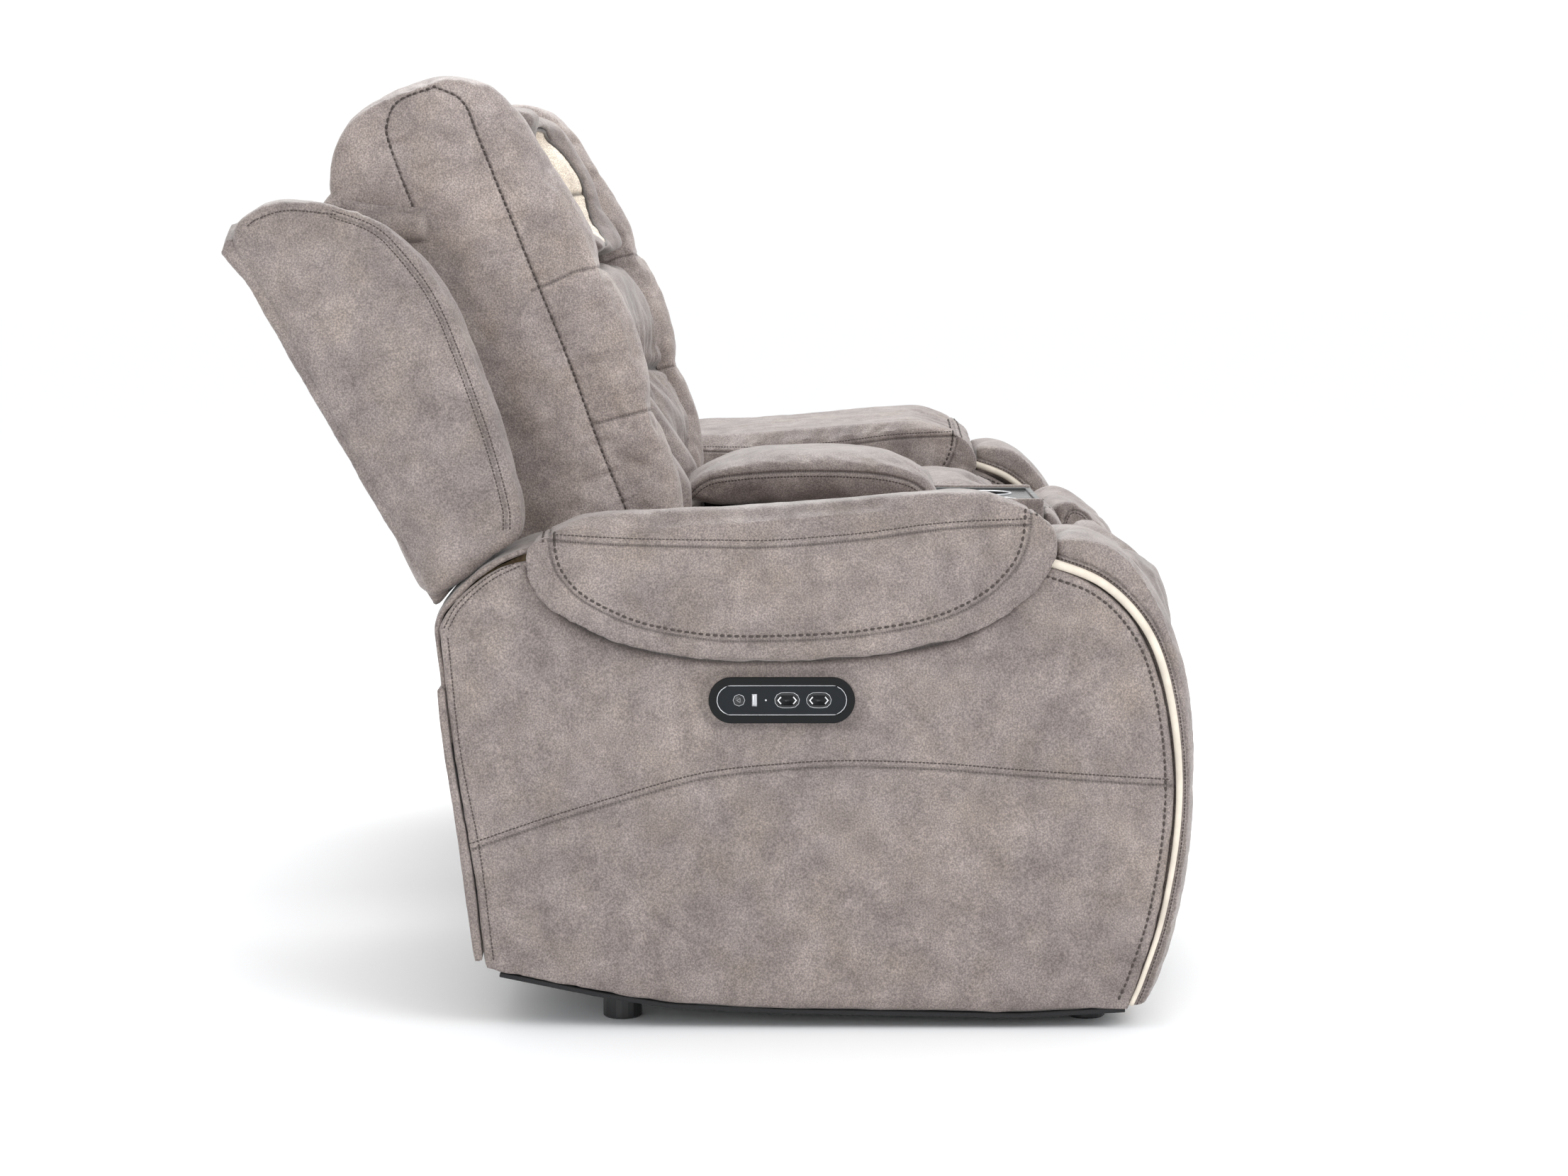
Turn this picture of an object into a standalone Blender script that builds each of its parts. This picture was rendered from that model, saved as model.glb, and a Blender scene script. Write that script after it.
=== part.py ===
"""Two-seat power reclining loveseat with a centre console, modelled in metres.

X is the width, the sitter faces -Y, and Z is up. The origin is on the floor under the middle.
"""
import math

import bpy

# Driving dimensions (m). The side values are distances from the centre plane.
CONSOLE_SIDE = 0.128
LID_SIDE = 0.122
SEAT_INNER = 0.136
SEAT_OUTER = 0.702
ARM_INNER = 0.735
ARM_OUTER = 0.955
PANEL_THICK = 0.022
PAD_INNER = 0.708
PAD_OUTER = 0.980
WING_INNER = 0.7045
WING_OUTER = 0.928
BOLSTER = 0.105
GAP = 0.0015
PIPING_OFFSET = 0.0068
PIPING_RADIUS = 0.0045
LINK_HALF = 0.010

# Joint axes, as (y, z)
BACK_PIVOT = (0.200, 0.320)
HEAD_PIVOT = (0.158, 0.862)
LIFT_PIVOT = (-0.350, 0.285)
KNEE_PIVOT = (-0.365, 0.085)
TILT_PIVOT = (-0.4405, 0.300)
LID_PIVOT = (0.055, 0.540)

# Control panel on the outside of each arm
PANEL_CENTRE = (-0.076, 0.381)
PANEL_HALF = (0.0825, 0.0255)
ROCKER_HALF = (0.013, 0.0075)
HOME_RADIUS = 0.0055
PANEL_PROUD = 0.006
HOME_Y = 0.0485
ROCKER_Y = {"recline": -0.006, "headrest": -0.042}
KEY_CLEARANCE = 0.0006

CUP_RADIUS = 0.040
CUP_SIDE = 0.058
CUP_Y = -0.357
CUP_DEPTH = 0.070
DECK_TOP = 0.545

FOOT_SIDE = 0.872
FOOT_RADIUS = 0.0225

COLOURS = {
    "suede": ((0.35, 0.30, 0.27, 1.0), 0.75, 0.0),
    "piping": ((0.70, 0.64, 0.54, 1.0), 0.7, 0.0),
    "timber": ((0.55, 0.40, 0.24, 1.0), 0.7, 0.0),
    "steel": ((0.06, 0.06, 0.065, 1.0), 0.45, 0.8),
    "black_plastic": ((0.02, 0.021, 0.024, 1.0), 0.4, 0.0),
}

# The arm's front edge, from the top of the side panel round to the floor line
FRONT_EDGE = [(-0.373, 0.534), (-0.435, 0.510), (-0.480, 0.466), (-0.506, 0.408), (-0.5215, 0.319),
              (-0.5215, 0.231), (-0.506, 0.133), (-0.484, 0.062), (-0.471, 0.026)]
SIDE_OUTLINE = FRONT_EDGE + [
    (-0.3465, 0.019), (-0.080, 0.0245), (0.053, 0.031), (0.133, 0.044), (0.249, 0.068),
    (0.262, 0.075), (0.277, 0.208), (0.2975, 0.319), (0.311, 0.462), (0.293, 0.493),
    (0.258, 0.524), (0.205, 0.548), (-0.340, 0.548)]
ROLL_OUTLINE = [(-0.390, 0.566), (-0.435, 0.561), (-0.480, 0.533), (-0.515, 0.470), (-0.5375, 0.399),
                (-0.546, 0.319), (-0.544, 0.213), (-0.524, 0.106), (-0.493, 0.031)]
ARM_PAD_OUTLINE = [(0.212, 0.553), (0.190, 0.586), (0.053, 0.590), (-0.080, 0.597), (-0.213, 0.611),
                   (-0.302, 0.617), (-0.351, 0.612), (-0.382, 0.577), (-0.385, 0.550),
                   (-0.364, 0.515), (-0.320, 0.475), (-0.258, 0.446), (-0.169, 0.4305),
                   (-0.080, 0.425), (0.009, 0.426), (0.098, 0.442), (0.169, 0.475), (0.204, 0.515)]
WING_OUTLINE = [(0.3045, 0.5025), (0.5375, 0.918), (0.515, 0.937), (0.480, 0.945), (0.426, 0.9395),
                (0.382, 0.9235), (0.351, 0.897), (0.311, 0.8435), (0.280, 0.7725), (0.246, 0.675),
                (0.227, 0.604), (0.223, 0.575), (0.230, 0.558), (0.248, 0.546), (0.278, 0.520)]
REAR_SKIN_OUTLINE = [(0.3055, 0.4995), (0.320, 0.482), (0.559, 0.903), (0.553, 0.921), (0.539, 0.9155)]
TOP_SHELF_OUTLINE = [(0.347, 0.905), (0.530, 0.905), (0.552, 0.909), (0.548, 0.918), (0.520, 0.9275),
                     (0.470, 0.9305), (0.347, 0.9305)]
INNER_SIDE_OUTLINE = [(0.312, 0.492), (0.548, 0.910), (0.350, 0.910), (0.206, 0.560), (0.216, 0.545),
                      (0.250, 0.527)]
BOLSTER_OUTLINE = [(0.336, 1.093), (0.293, 1.092), (0.256, 1.079), (0.209, 1.006), (0.162, 0.912),
                   (0.141, 0.8645), (0.105, 0.780), (0.0815, 0.695), (0.067, 0.620), (0.047, 0.568),
                   (0.043, 0.520), (0.056, 0.490), (0.075, 0.470), (0.078, 0.405), (0.148, 0.405),
                   (0.323, 0.932), (0.458, 0.932), (0.469, 0.982), (0.453, 1.029), (0.416, 1.067)]
LUMBAR_OUTLINE = [(0.147, 0.858), (0.108, 0.780), (0.0845, 0.695), (0.070, 0.620), (0.050, 0.568),
                  (0.046, 0.520), (0.058, 0.490), (0.077, 0.470), (0.080, 0.405), (0.148, 0.405),
                  (0.296, 0.852)]
HEADREST_OUTLINE = [(0.150, 0.868), (0.148, 0.905), (0.170, 0.965), (0.205, 1.030), (0.240, 1.070),
                    (0.285, 1.087), (0.335, 1.087), (0.372, 1.060), (0.372, 0.935), (0.318, 0.933),
                    (0.300, 0.870)]
BACK_FRAME_OUTLINE = [(0.182, 0.295), (0.214, 0.295), (0.216, 0.405), (0.375, 0.903), (0.346, 0.903),
                      (0.3145, 0.902), (0.150, 0.404), (0.180, 0.403)]
SEAT_OUTLINE = [(0.060, 0.3315), (-0.400, 0.3315), (-0.425, 0.345), (-0.437, 0.400), (-0.437, 0.470),
                (-0.428, 0.505), (-0.400, 0.530), (-0.357, 0.540), (-0.250, 0.528), (-0.100, 0.500),
                (0.000, 0.478), (0.045, 0.468), (0.060, 0.450)]
FOOTREST_OUTLINE = [(-0.452, 0.110), (-0.452, 0.500), (-0.460, 0.525), (-0.480, 0.535), (-0.505, 0.527),
                    (-0.522, 0.510), (-0.541, 0.489), (-0.554, 0.461), (-0.559, 0.430), (-0.556, 0.300),
                    (-0.545, 0.160), (-0.530, 0.108), (-0.500, 0.096), (-0.465, 0.098)]
LID_OUTLINE = [(0.052, 0.536), (-0.285, 0.536), (-0.287, 0.556), (-0.270, 0.585), (-0.230, 0.601),
               (-0.170, 0.608), (-0.070, 0.608), (-0.010, 0.599), (0.035, 0.578), (0.050, 0.556)]
CONSOLE_OUTLINE = [(0.057, 0.140), (0.057, 0.532), (-0.2885, 0.532), (-0.2885, 0.455), (-0.430, 0.455),
                   (-0.430, 0.140)]
CONSOLE_FRONT_OUTLINE = [(-0.4315, 0.060), (-0.4315, 0.538), (-0.440, 0.538), (-0.458, 0.520),
                         (-0.467, 0.480), (-0.470, 0.300), (-0.466, 0.120), (-0.455, 0.065)]
CONSOLE_REAR_OUTLINE = [(0.062, 0.140), (0.062, 0.520), (0.080, 0.532), (0.110, 0.546), (0.150, 0.552),
                        (0.230, 0.540), (0.256, 0.515), (0.262, 0.470), (0.240, 0.140)]
REAR_PANEL_OUTLINE = [(0.2645, 0.079), (0.275, 0.076), (0.290, 0.208), (0.3105, 0.319), (0.3165, 0.395),
                      (0.3060, 0.395), (0.2995, 0.319), (0.2790, 0.208)]
MOTOR_OUTLINE = [(0.140, 0.165), (0.140, 0.3085), (0.110, 0.3085), (0.110, 0.235), (0.020, 0.235),
                 (0.020, 0.212), (-0.260, 0.212), (-0.260, 0.197), (0.000, 0.197), (0.000, 0.165)]


def clear_scene():
    for item in list(bpy.data.objects):
        bpy.data.objects.remove(item)


def make_material(name):
    colour, roughness, metallic = COLOURS[name]
    material = bpy.data.materials.new(name)
    material.use_nodes = True
    shader = material.node_tree.nodes["Principled BSDF"]
    shader.inputs["Base Color"].default_value = colour
    shader.inputs["Roughness"].default_value = roughness
    shader.inputs["Metallic"].default_value = metallic
    return material


def add_object(name, data, material=None):
    item = bpy.data.objects.new(name, data)
    parts.objects.link(item)
    if material:
        item.data.materials.append(materials[material])
    return item


def bevel(item, width, segments=1):
    weld = item.modifiers.new("weld", "WELD")
    weld.merge_threshold = 0.0001
    rounding = item.modifiers.new("bevel", "BEVEL")
    rounding.width = width
    rounding.segments = segments
    rounding.limit_method = "ANGLE"
    rounding.angle_limit = math.radians(50)


def slab(name, outlines, near, far, material, edge=0.0, segments=1):
    """An outline in the YZ plane, or several where the inner ones are holes, from x near to x far."""
    curve = bpy.data.curves.new(name, "CURVE")
    curve.dimensions = "2D"
    curve.fill_mode = "BOTH"
    curve.extrude = abs(far - near) / 2
    for outline in outlines:
        spline = curve.splines.new("POLY")
        spline.points.add(len(outline) - 1)
        for point, (y, z) in zip(spline.points, outline):
            point.co = (y, z, 0.0, 1.0)
        spline.use_cyclic_u = True
    item = add_object(name, curve, material)
    item.rotation_euler = (math.pi / 2, 0.0, math.pi / 2)
    item.location = ((near + far) / 2, 0.0, 0.0)
    if edge:
        bevel(item, edge, segments)
    return item


def block(name, low, high, material, edge=0.0):
    bpy.ops.mesh.primitive_cube_add(size=1.0)
    item = bpy.context.object
    item.name = name
    item.data.name = name
    size = [b - a for a, b in zip(low, high)]
    centre = [(a + b) / 2 for a, b in zip(low, high)]
    for vertex in item.data.vertices:
        vertex.co = [c * s for c, s in zip(vertex.co, size)]
    item.location = centre
    move_to(item, parts)
    item.data.materials.append(materials[material])
    if edge:
        bevel(item, edge)
    return item


def move_to(item, collection):
    for owner in list(item.users_collection):
        owner.objects.unlink(item)
    collection.objects.link(item)


def rod(name, centre, radius, length, axis, material, sides=16, edge=0.0):
    turns = {"X": (0.0, math.pi / 2, 0.0), "Z": (0.0, 0.0, 0.0)}
    bpy.ops.mesh.primitive_cylinder_add(vertices=sides, radius=radius, depth=length, location=centre,
                                        rotation=turns[axis])
    item = bpy.context.object
    item.name = name
    item.data.name = name
    move_to(item, parts)
    item.data.materials.append(materials[material])
    item.data.shade_smooth()
    item.data.set_sharp_from_angle(angle=math.radians(40))
    if edge:
        bevel(item, edge)
    return item


def to_mesh(item):
    """The same shape as a closed mesh object, so that a Boolean can use it."""
    depsgraph = bpy.context.evaluated_depsgraph_get()
    mesh = bpy.data.meshes.new_from_object(item.evaluated_get(depsgraph))
    solid = bpy.data.objects.new("solid", mesh)
    parts.objects.link(solid)
    solid.matrix_world = item.matrix_world
    weld = solid.modifiers.new("weld", "WELD")
    weld.merge_threshold = 0.0001
    name = item.name
    bpy.data.objects.remove(item)
    solid.name = name
    return solid


def combine(item, tool, operation):
    tool.hide_render = True
    tool.display_type = "WIRE"
    move_to(tool, cutters)
    boolean = item.modifiers.new(operation.lower(), "BOOLEAN")
    boolean.operation = operation
    boolean.object = tool
    boolean.solver = "EXACT"


def stadium(centre, half, steps=6):
    """A flat oval in the YZ plane: two half circles joined by straight sides."""
    reach = half[0] - half[1]
    points = []
    for end in (1, -1):
        for step in range(steps + 1):
            angle = math.pi * step / steps - math.pi / 2
            y = centre[0] + end * (reach + half[1] * math.cos(angle))
            points.append((y, centre[1] + end * half[1] * math.sin(angle)))
    return points


def disc(centre, radius, steps=12):
    turns = [2 * math.pi * step / steps for step in range(steps)]
    return [(centre[0] + radius * math.cos(a), centre[1] + radius * math.sin(a)) for a in turns]


def pivot(name, place, x=0.0):
    """An empty on a joint's axis, which carries the pieces that turn about it."""
    empty = bpy.data.objects.new(name, None)
    empty.location = (x, place[0], place[1])
    empty.empty_display_size = 0.05
    parts.objects.link(empty)
    return empty


def carry(empty, *items):
    for item in items:
        item.parent = empty
        item.location = item.location - empty.location


def arm(side, sign):
    """The fixed arm: core, side panels, pillow pad, front roll, piping and feet."""
    slab(f"{side}_arm_frame", [SIDE_OUTLINE], sign * 0.80, sign * 0.905, "timber")
    inner_face = ARM_INNER + PANEL_THICK
    slab(f"{side}_side_panel", [SIDE_OUTLINE], sign * (ARM_OUTER - PANEL_THICK), sign * ARM_OUTER, "suede")
    slab(f"{side}_arm_inner_panel", [SIDE_OUTLINE], sign * ARM_INNER, sign * inner_face, "suede")
    seam = [(y - 0.0015, z + 0.001) for y, z in reversed(FRONT_EDGE[1:])]
    slab(f"{side}_arm_front", [ROLL_OUTLINE + seam + [(-0.394, 0.5285)]], sign * 0.742, sign * 0.943, "suede")
    pad = to_mesh(slab(f"{side}_arm_pad", [ARM_PAD_OUTLINE], sign * PAD_INNER, sign * PAD_OUTER, "suede"))
    saddle = [(0.30, 0.36), (0.30, 0.5505), (-0.45, 0.5505), (-0.45, 0.36)]
    room = slab(f"{side}_pad_cutter", [saddle], sign * (ARM_INNER - GAP), sign * (ARM_OUTER + GAP), "suede")
    combine(pad, to_mesh(room), "DIFFERENCE")
    piping(side, sign)
    feet = {"front": (-0.430, 0.0205), "rear": (0.109, 0.0358)}
    for place, (y, height) in feet.items():
        centre = (sign * FOOT_SIDE, y, height / 2)
        rod(f"{side}_{place}_foot", centre, FOOT_RADIUS, height, "Z", "black_plastic", 20, 0.002)


def beside(line, distance):
    """The line moved sideways, to the left of its direction when seen from +X."""
    moved = []
    for index, (y, z) in enumerate(line):
        before = line[max(index - 1, 0)]
        after = line[min(index + 1, len(line) - 1)]
        dy, dz = after[0] - before[0], after[1] - before[1]
        length = math.hypot(dy, dz)
        moved.append((y + distance * dz / length, z - distance * dy / length))
    return moved


def piping(side, sign):
    """The pale cord sewn between the side panel and the front roll."""
    curve = bpy.data.curves.new(f"{side}_arm_piping", "CURVE")
    curve.dimensions = "3D"
    curve.bevel_depth = PIPING_RADIUS
    curve.bevel_resolution = 2
    curve.use_fill_caps = True
    route = beside(FRONT_EDGE, PIPING_OFFSET)
    spline = curve.splines.new("POLY")
    spline.points.add(len(route) - 1)
    for point, (y, z) in zip(spline.points, route):
        point.co = (sign * 0.9495, y, z, 1.0)
    add_object(f"{side}_arm_piping", curve, "piping")


def controls(side, sign):
    """The control panel: a stadium plate, a round key and two rockers."""
    base = sign * (ARM_OUTER + 0.0003)
    face = sign * (ARM_OUTER + PANEL_PROUD)
    holes = [disc((PANEL_CENTRE[0] + HOME_Y, PANEL_CENTRE[1]), HOME_RADIUS + KEY_CLEARANCE)]
    room = [half + KEY_CLEARANCE for half in ROCKER_HALF]
    centres = {name: (PANEL_CENTRE[0] + y, PANEL_CENTRE[1]) for name, y in ROCKER_Y.items()}
    holes += [stadium(centre, room) for centre in centres.values()]
    slab(f"{side}_control_panel", [stadium(PANEL_CENTRE, PANEL_HALF)] + holes, base, face, "black_plastic")
    inside = sign * (ARM_OUTER + 0.0018)
    outside = sign * (ARM_OUTER + PANEL_PROUD - 0.0005)
    middle = (inside + outside) / 2
    home = pivot(f"{side}_home_axis", (PANEL_CENTRE[0] + HOME_Y, PANEL_CENTRE[1]), middle)
    key = rod(f"{side}_home_button", (middle, PANEL_CENTRE[0] + HOME_Y, PANEL_CENTRE[1]), HOME_RADIUS,
              abs(outside - inside), "X", "black_plastic", 16)
    carry(home, key)
    for name, centre in centres.items():
        hinge = pivot(f"{side}_{name}_rocker_axis", centre, middle)
        key = slab(f"{side}_{name}_rocker", [stadium(centre, ROCKER_HALF)], inside, outside, "black_plastic")
        carry(hinge, key)


def seat(side, sign):
    """The fixed seat deck with its bearing blocks, the seat cushion and the actuator."""
    deck = block(f"{side}_seat_frame", (min(sign * 0.1295, sign * 0.7335), -0.400, 0.310),
                 (max(sign * 0.1295, sign * 0.7335), 0.150, 0.330), "timber")
    y, z = LIFT_PIVOT
    for name, inner, outer in (("inner", 0.176, 0.196), ("outer", 0.656, 0.676)):
        ends = sorted((sign * inner, sign * outer))
        bearing = block(f"{side}_{name}_bearing", (ends[0], y - 0.020, z - 0.020), (ends[1], y + 0.020, 0.312),
                        "steel")
        combine(deck, bearing, "UNION")
    slab(f"{side}_seat_cushion", [SEAT_OUTLINE], sign * SEAT_INNER, sign * SEAT_OUTER, "suede", 0.018, 2)
    slab(f"{side}_recline_motor", [MOTOR_OUTLINE], sign * 0.400, sign * 0.440, "black_plastic")
    ends = sorted((sign * 0.395, sign * 0.445))
    block(f"{side}_drive_block", (ends[0], -0.070, 0.2135), (ends[1], -0.015, 0.245), "steel", 0.003)


def link(start, end):
    """A flat link outline with round ends, from one pivot to the other."""
    angle = math.atan2(end[1] - start[1], end[0] - start[0])
    points = []
    for centre, turn in ((end, angle - math.pi / 2), (start, angle + math.pi / 2)):
        for step in range(6):
            a = turn + math.pi * step / 5
            points.append((centre[0] + LINK_HALF * math.cos(a), centre[1] + LINK_HALF * math.sin(a)))
    return points


def linkage(side, sign):
    """The footrest's two link pairs, each with its cross tube, and the footrest pad."""
    pairs = (("footrest_rear_link", LIFT_PIVOT, KNEE_PIVOT, LIFT_PIVOT, (0.200, 0.206), (0.644, 0.650), 0.1965,
              0.6555),
             ("footrest_front_link", KNEE_PIVOT, TILT_PIVOT, TILT_PIVOT, (0.2075, 0.2135), (0.6365, 0.6425),
              0.2075, 0.6425))
    hinges = (LIFT_PIVOT, KNEE_PIVOT)
    for (name, start, end, tube, inner, outer, low, high), hinge in zip(pairs, hinges):
        outline = link(start, end)
        middle = (sign * (low + high) / 2, tube[0], tube[1])
        body = rod(f"{side}_{name}", middle, 0.009, high - low, "X", "steel", 12)
        for number, (near, far) in enumerate((inner, outer)):
            plate = slab(f"{side}_{name}_plate_{number}", [outline], sign * near, sign * far, "steel")
            combine(body, to_mesh(plate), "UNION")
        carry(pivot(f"{side}_{name}_axis", hinge), body)
    pad = slab(f"{side}_footrest_pad", [FOOTREST_OUTLINE], sign * 0.140, sign * 0.700, "suede", 0.015, 2)
    carry(pivot(f"{side}_footrest_axis", TILT_PIVOT), pad)


def back(side, sign):
    """The reclining back: frame, two bolsters, lumbar pad, headrest, wing and outside back."""
    hinge = pivot(f"{side}_back_axis", BACK_PIVOT)
    frame = slab(f"{side}_back_frame", [BACK_FRAME_OUTLINE], sign * 0.16, sign * 0.68, "timber")
    middle = (SEAT_INNER + BOLSTER, SEAT_OUTER - BOLSTER)
    outer = slab(f"{side}_outer_bolster", [BOLSTER_OUTLINE], sign * (middle[1] + GAP), sign * SEAT_OUTER,
                 "suede", 0.02, 2)
    inner = slab(f"{side}_inner_bolster", [BOLSTER_OUTLINE], sign * SEAT_INNER, sign * (middle[0] - GAP),
                 "suede", 0.02, 2)
    lumbar = slab(f"{side}_lumbar_cushion", [LUMBAR_OUTLINE], sign * middle[0], sign * middle[1], "suede",
                  0.01)
    wing = slab(f"{side}_wing", [WING_OUTLINE], sign * WING_INNER, sign * WING_OUTER, "suede", 0.01)
    skin = to_mesh(slab(f"{side}_back_rear_panel", [REAR_SKIN_OUTLINE], sign * SEAT_INNER,
                        sign * (WING_OUTER + 0.001), "suede"))
    shelf = slab(f"{side}_top_shelf", [TOP_SHELF_OUTLINE], sign * (SEAT_INNER + 0.002), sign * 0.7025, "suede")
    combine(skin, to_mesh(shelf), "UNION")
    gusset = slab(f"{side}_inner_side", [INNER_SIDE_OUTLINE], sign * (SEAT_INNER + 0.003), sign * 0.155, "suede")
    combine(skin, to_mesh(gusset), "UNION")
    carry(hinge, frame, outer, inner, lumbar, wing, skin)
    head = slab(f"{side}_headrest", [HEADREST_OUTLINE], sign * (middle[0] + GAP), sign * (middle[1] - GAP),
                "suede", 0.015, 2)
    carry(pivot(f"{side}_headrest_axis", HEAD_PIVOT), head)


def console():
    """The centre console: bin, cup-holder deck, hinged lid, front and rear covers."""
    body = to_mesh(slab("console_box", [CONSOLE_OUTLINE], -CONSOLE_SIDE, CONSOLE_SIDE, "suede"))
    combine(body, block("bin_cutter", (-0.100, -0.265, 0.340), (0.100, 0.030, 0.560), "suede"), "DIFFERENCE")
    deck = block("console_cup_deck", (-0.124, -0.4295, 0.4565), (0.124, -0.290, DECK_TOP), "black_plastic")
    for number, x in enumerate((-CUP_SIDE, CUP_SIDE)):
        centre = (x, CUP_Y, DECK_TOP - CUP_DEPTH / 2 + 0.010)
        cutter = rod(f"cup_cutter_{number}", centre, CUP_RADIUS, CUP_DEPTH + 0.020, "Z", "black_plastic", 24)
        combine(deck, cutter, "DIFFERENCE")
    slab("console_front", [CONSOLE_FRONT_OUTLINE], -CONSOLE_SIDE, CONSOLE_SIDE, "suede", 0.006)
    slab("console_rear", [CONSOLE_REAR_OUTLINE], -CONSOLE_SIDE, CONSOLE_SIDE, "suede", 0.006)
    lid = slab("console_lid", [LID_OUTLINE], -LID_SIDE, LID_SIDE, "suede", 0.01)
    carry(pivot("console_lid_axis", LID_PIVOT), lid)


def base():
    """The front rail under the console and seats, the rear panel and the power inlet."""
    block("front_rail", (-0.7335, -0.250, 0.075), (0.7335, -0.205, 0.1385), "timber")
    slab("rear_panel", [REAR_PANEL_OUTLINE], -0.953, 0.953, "suede")
    block("power_inlet", (-0.035, 0.2860, 0.100), (0.035, 0.2960, 0.148), "black_plastic", 0.003)


clear_scene()
parts = bpy.data.collections.new("console_loveseat")
cutters = bpy.data.collections.new("cutters")
bpy.context.scene.collection.children.link(parts)
bpy.context.scene.collection.children.link(cutters)
materials = {name: make_material(name) for name in COLOURS}
for side_name, side_sign in (("right", -1), ("left", 1)):
    arm(side_name, side_sign)
    controls(side_name, side_sign)
    seat(side_name, side_sign)
    linkage(side_name, side_sign)
    back(side_name, side_sign)
console()
base()
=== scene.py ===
import math

import bmesh
import bpy
import numpy as np
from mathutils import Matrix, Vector
from mathutils.bvhtree import BVHTree


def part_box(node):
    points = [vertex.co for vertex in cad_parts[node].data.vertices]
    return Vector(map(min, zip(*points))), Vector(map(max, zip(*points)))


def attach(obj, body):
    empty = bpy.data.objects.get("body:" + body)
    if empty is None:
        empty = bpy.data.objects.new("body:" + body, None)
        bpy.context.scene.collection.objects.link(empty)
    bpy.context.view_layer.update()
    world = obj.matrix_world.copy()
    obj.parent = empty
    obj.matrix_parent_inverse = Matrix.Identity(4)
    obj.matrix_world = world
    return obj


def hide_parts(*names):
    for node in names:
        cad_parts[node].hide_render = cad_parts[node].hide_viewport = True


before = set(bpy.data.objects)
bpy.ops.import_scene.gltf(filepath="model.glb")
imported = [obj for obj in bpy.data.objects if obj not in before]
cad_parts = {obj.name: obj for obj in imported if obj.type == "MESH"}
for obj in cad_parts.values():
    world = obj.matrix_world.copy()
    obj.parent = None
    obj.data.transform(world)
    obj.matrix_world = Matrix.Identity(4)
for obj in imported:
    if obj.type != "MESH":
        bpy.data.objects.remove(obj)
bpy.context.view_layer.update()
scene = bpy.context.scene
stitchRows = {}


def only(piece):
    bpy.ops.object.select_all(action="DESELECT")
    piece.select_set(True)
    bpy.context.view_layer.objects.active = piece


def readPoints(piece):
    points = np.empty(len(piece.data.vertices) * 3, np.float32)
    piece.data.vertices.foreach_get("co", points)
    return points.reshape(-1, 3)


def readNormals(piece):
    normals = np.empty(len(piece.data.vertices) * 3, np.float32)
    piece.data.vertex_normals.foreach_get("vector", normals)
    return normals.reshape(-1, 3)


def writePoints(piece, points):
    piece.data.vertices.foreach_set("co", points.astype(np.float32).ravel())
    piece.data.update()


def applyModifier(piece, kind, **values):
    modifier = piece.modifiers.new(kind.lower(), kind)
    for key, value in values.items():
        setattr(modifier, key, value)
    only(piece)
    bpy.ops.object.modifier_apply(modifier=modifier.name)


def smoothLine(points, spacing=0.003, closed=False):
    # a Catmull-Rom curve through the points, resampled at an even spacing
    points = [np.array(point, float) for point in points]
    if closed:
        points = [points[-1]] + points + points[:2]
    else:
        points = [2 * points[0] - points[1]] + points + [2 * points[-1] - points[-2]]
    fine = []
    for a, b, c, d in zip(points, points[1:], points[2:], points[3:]):
        for t in np.linspace(0, 1, 24, endpoint=False):
            fine.append(0.5 * (2 * b + (c - a) * t + (2 * a - 5 * b + 4 * c - d) * t ** 2
                               + (3 * b - a - 3 * c + d) * t ** 3))
    fine.append(points[-2])
    fine = np.array(fine)
    lengths = np.concatenate([[0], np.cumsum(np.linalg.norm(np.diff(fine, axis=0), axis=1))])
    marks = np.linspace(0, lengths[-1], max(int(lengths[-1] / spacing), 2) + 1)
    return np.stack([np.interp(marks, lengths, fine[:, axis]) for axis in range(3)], 1)


def onSurface(piece, line, toward):
    # drops each point of a line onto the piece along one direction
    tree = BVHTree.FromObject(piece, bpy.context.evaluated_depsgraph_get())
    toward = Vector(toward).normalized()
    places, normals = [], []
    for point in line:
        hit, normal, face, distance = tree.ray_cast(Vector(point) - toward * 0.4, toward)
        if hit is not None:
            places.append(hit)
            normals.append(normal)
    return np.array(places), np.array(normals)


def nearestOn(line, points):
    distance = np.empty(len(points))
    index = np.empty(len(points), int)
    for start in range(0, len(points), 4000):
        part = points[start:start + 4000]
        gaps = np.linalg.norm(part[:, None, :] - line[None, :, :], axis=2)
        index[start:start + 4000] = gaps.argmin(1)
        distance[start:start + 4000] = gaps.min(1)
    return distance, index


def ripple(points, size, seed, stretch=(1, 1, 1)):
    # soft uneven waves of about one unit, the same each run
    draw = np.random.default_rng(seed)
    total = np.zeros(len(points))
    for wave in range(9):
        way = draw.normal(size=3)
        way /= np.linalg.norm(way)
        pace = 2 * math.pi / size * draw.uniform(0.6, 1.5)
        total += np.sin((points / np.array(stretch)) @ way * pace + draw.uniform(0, 2 * math.pi))
    return total / 3


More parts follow.
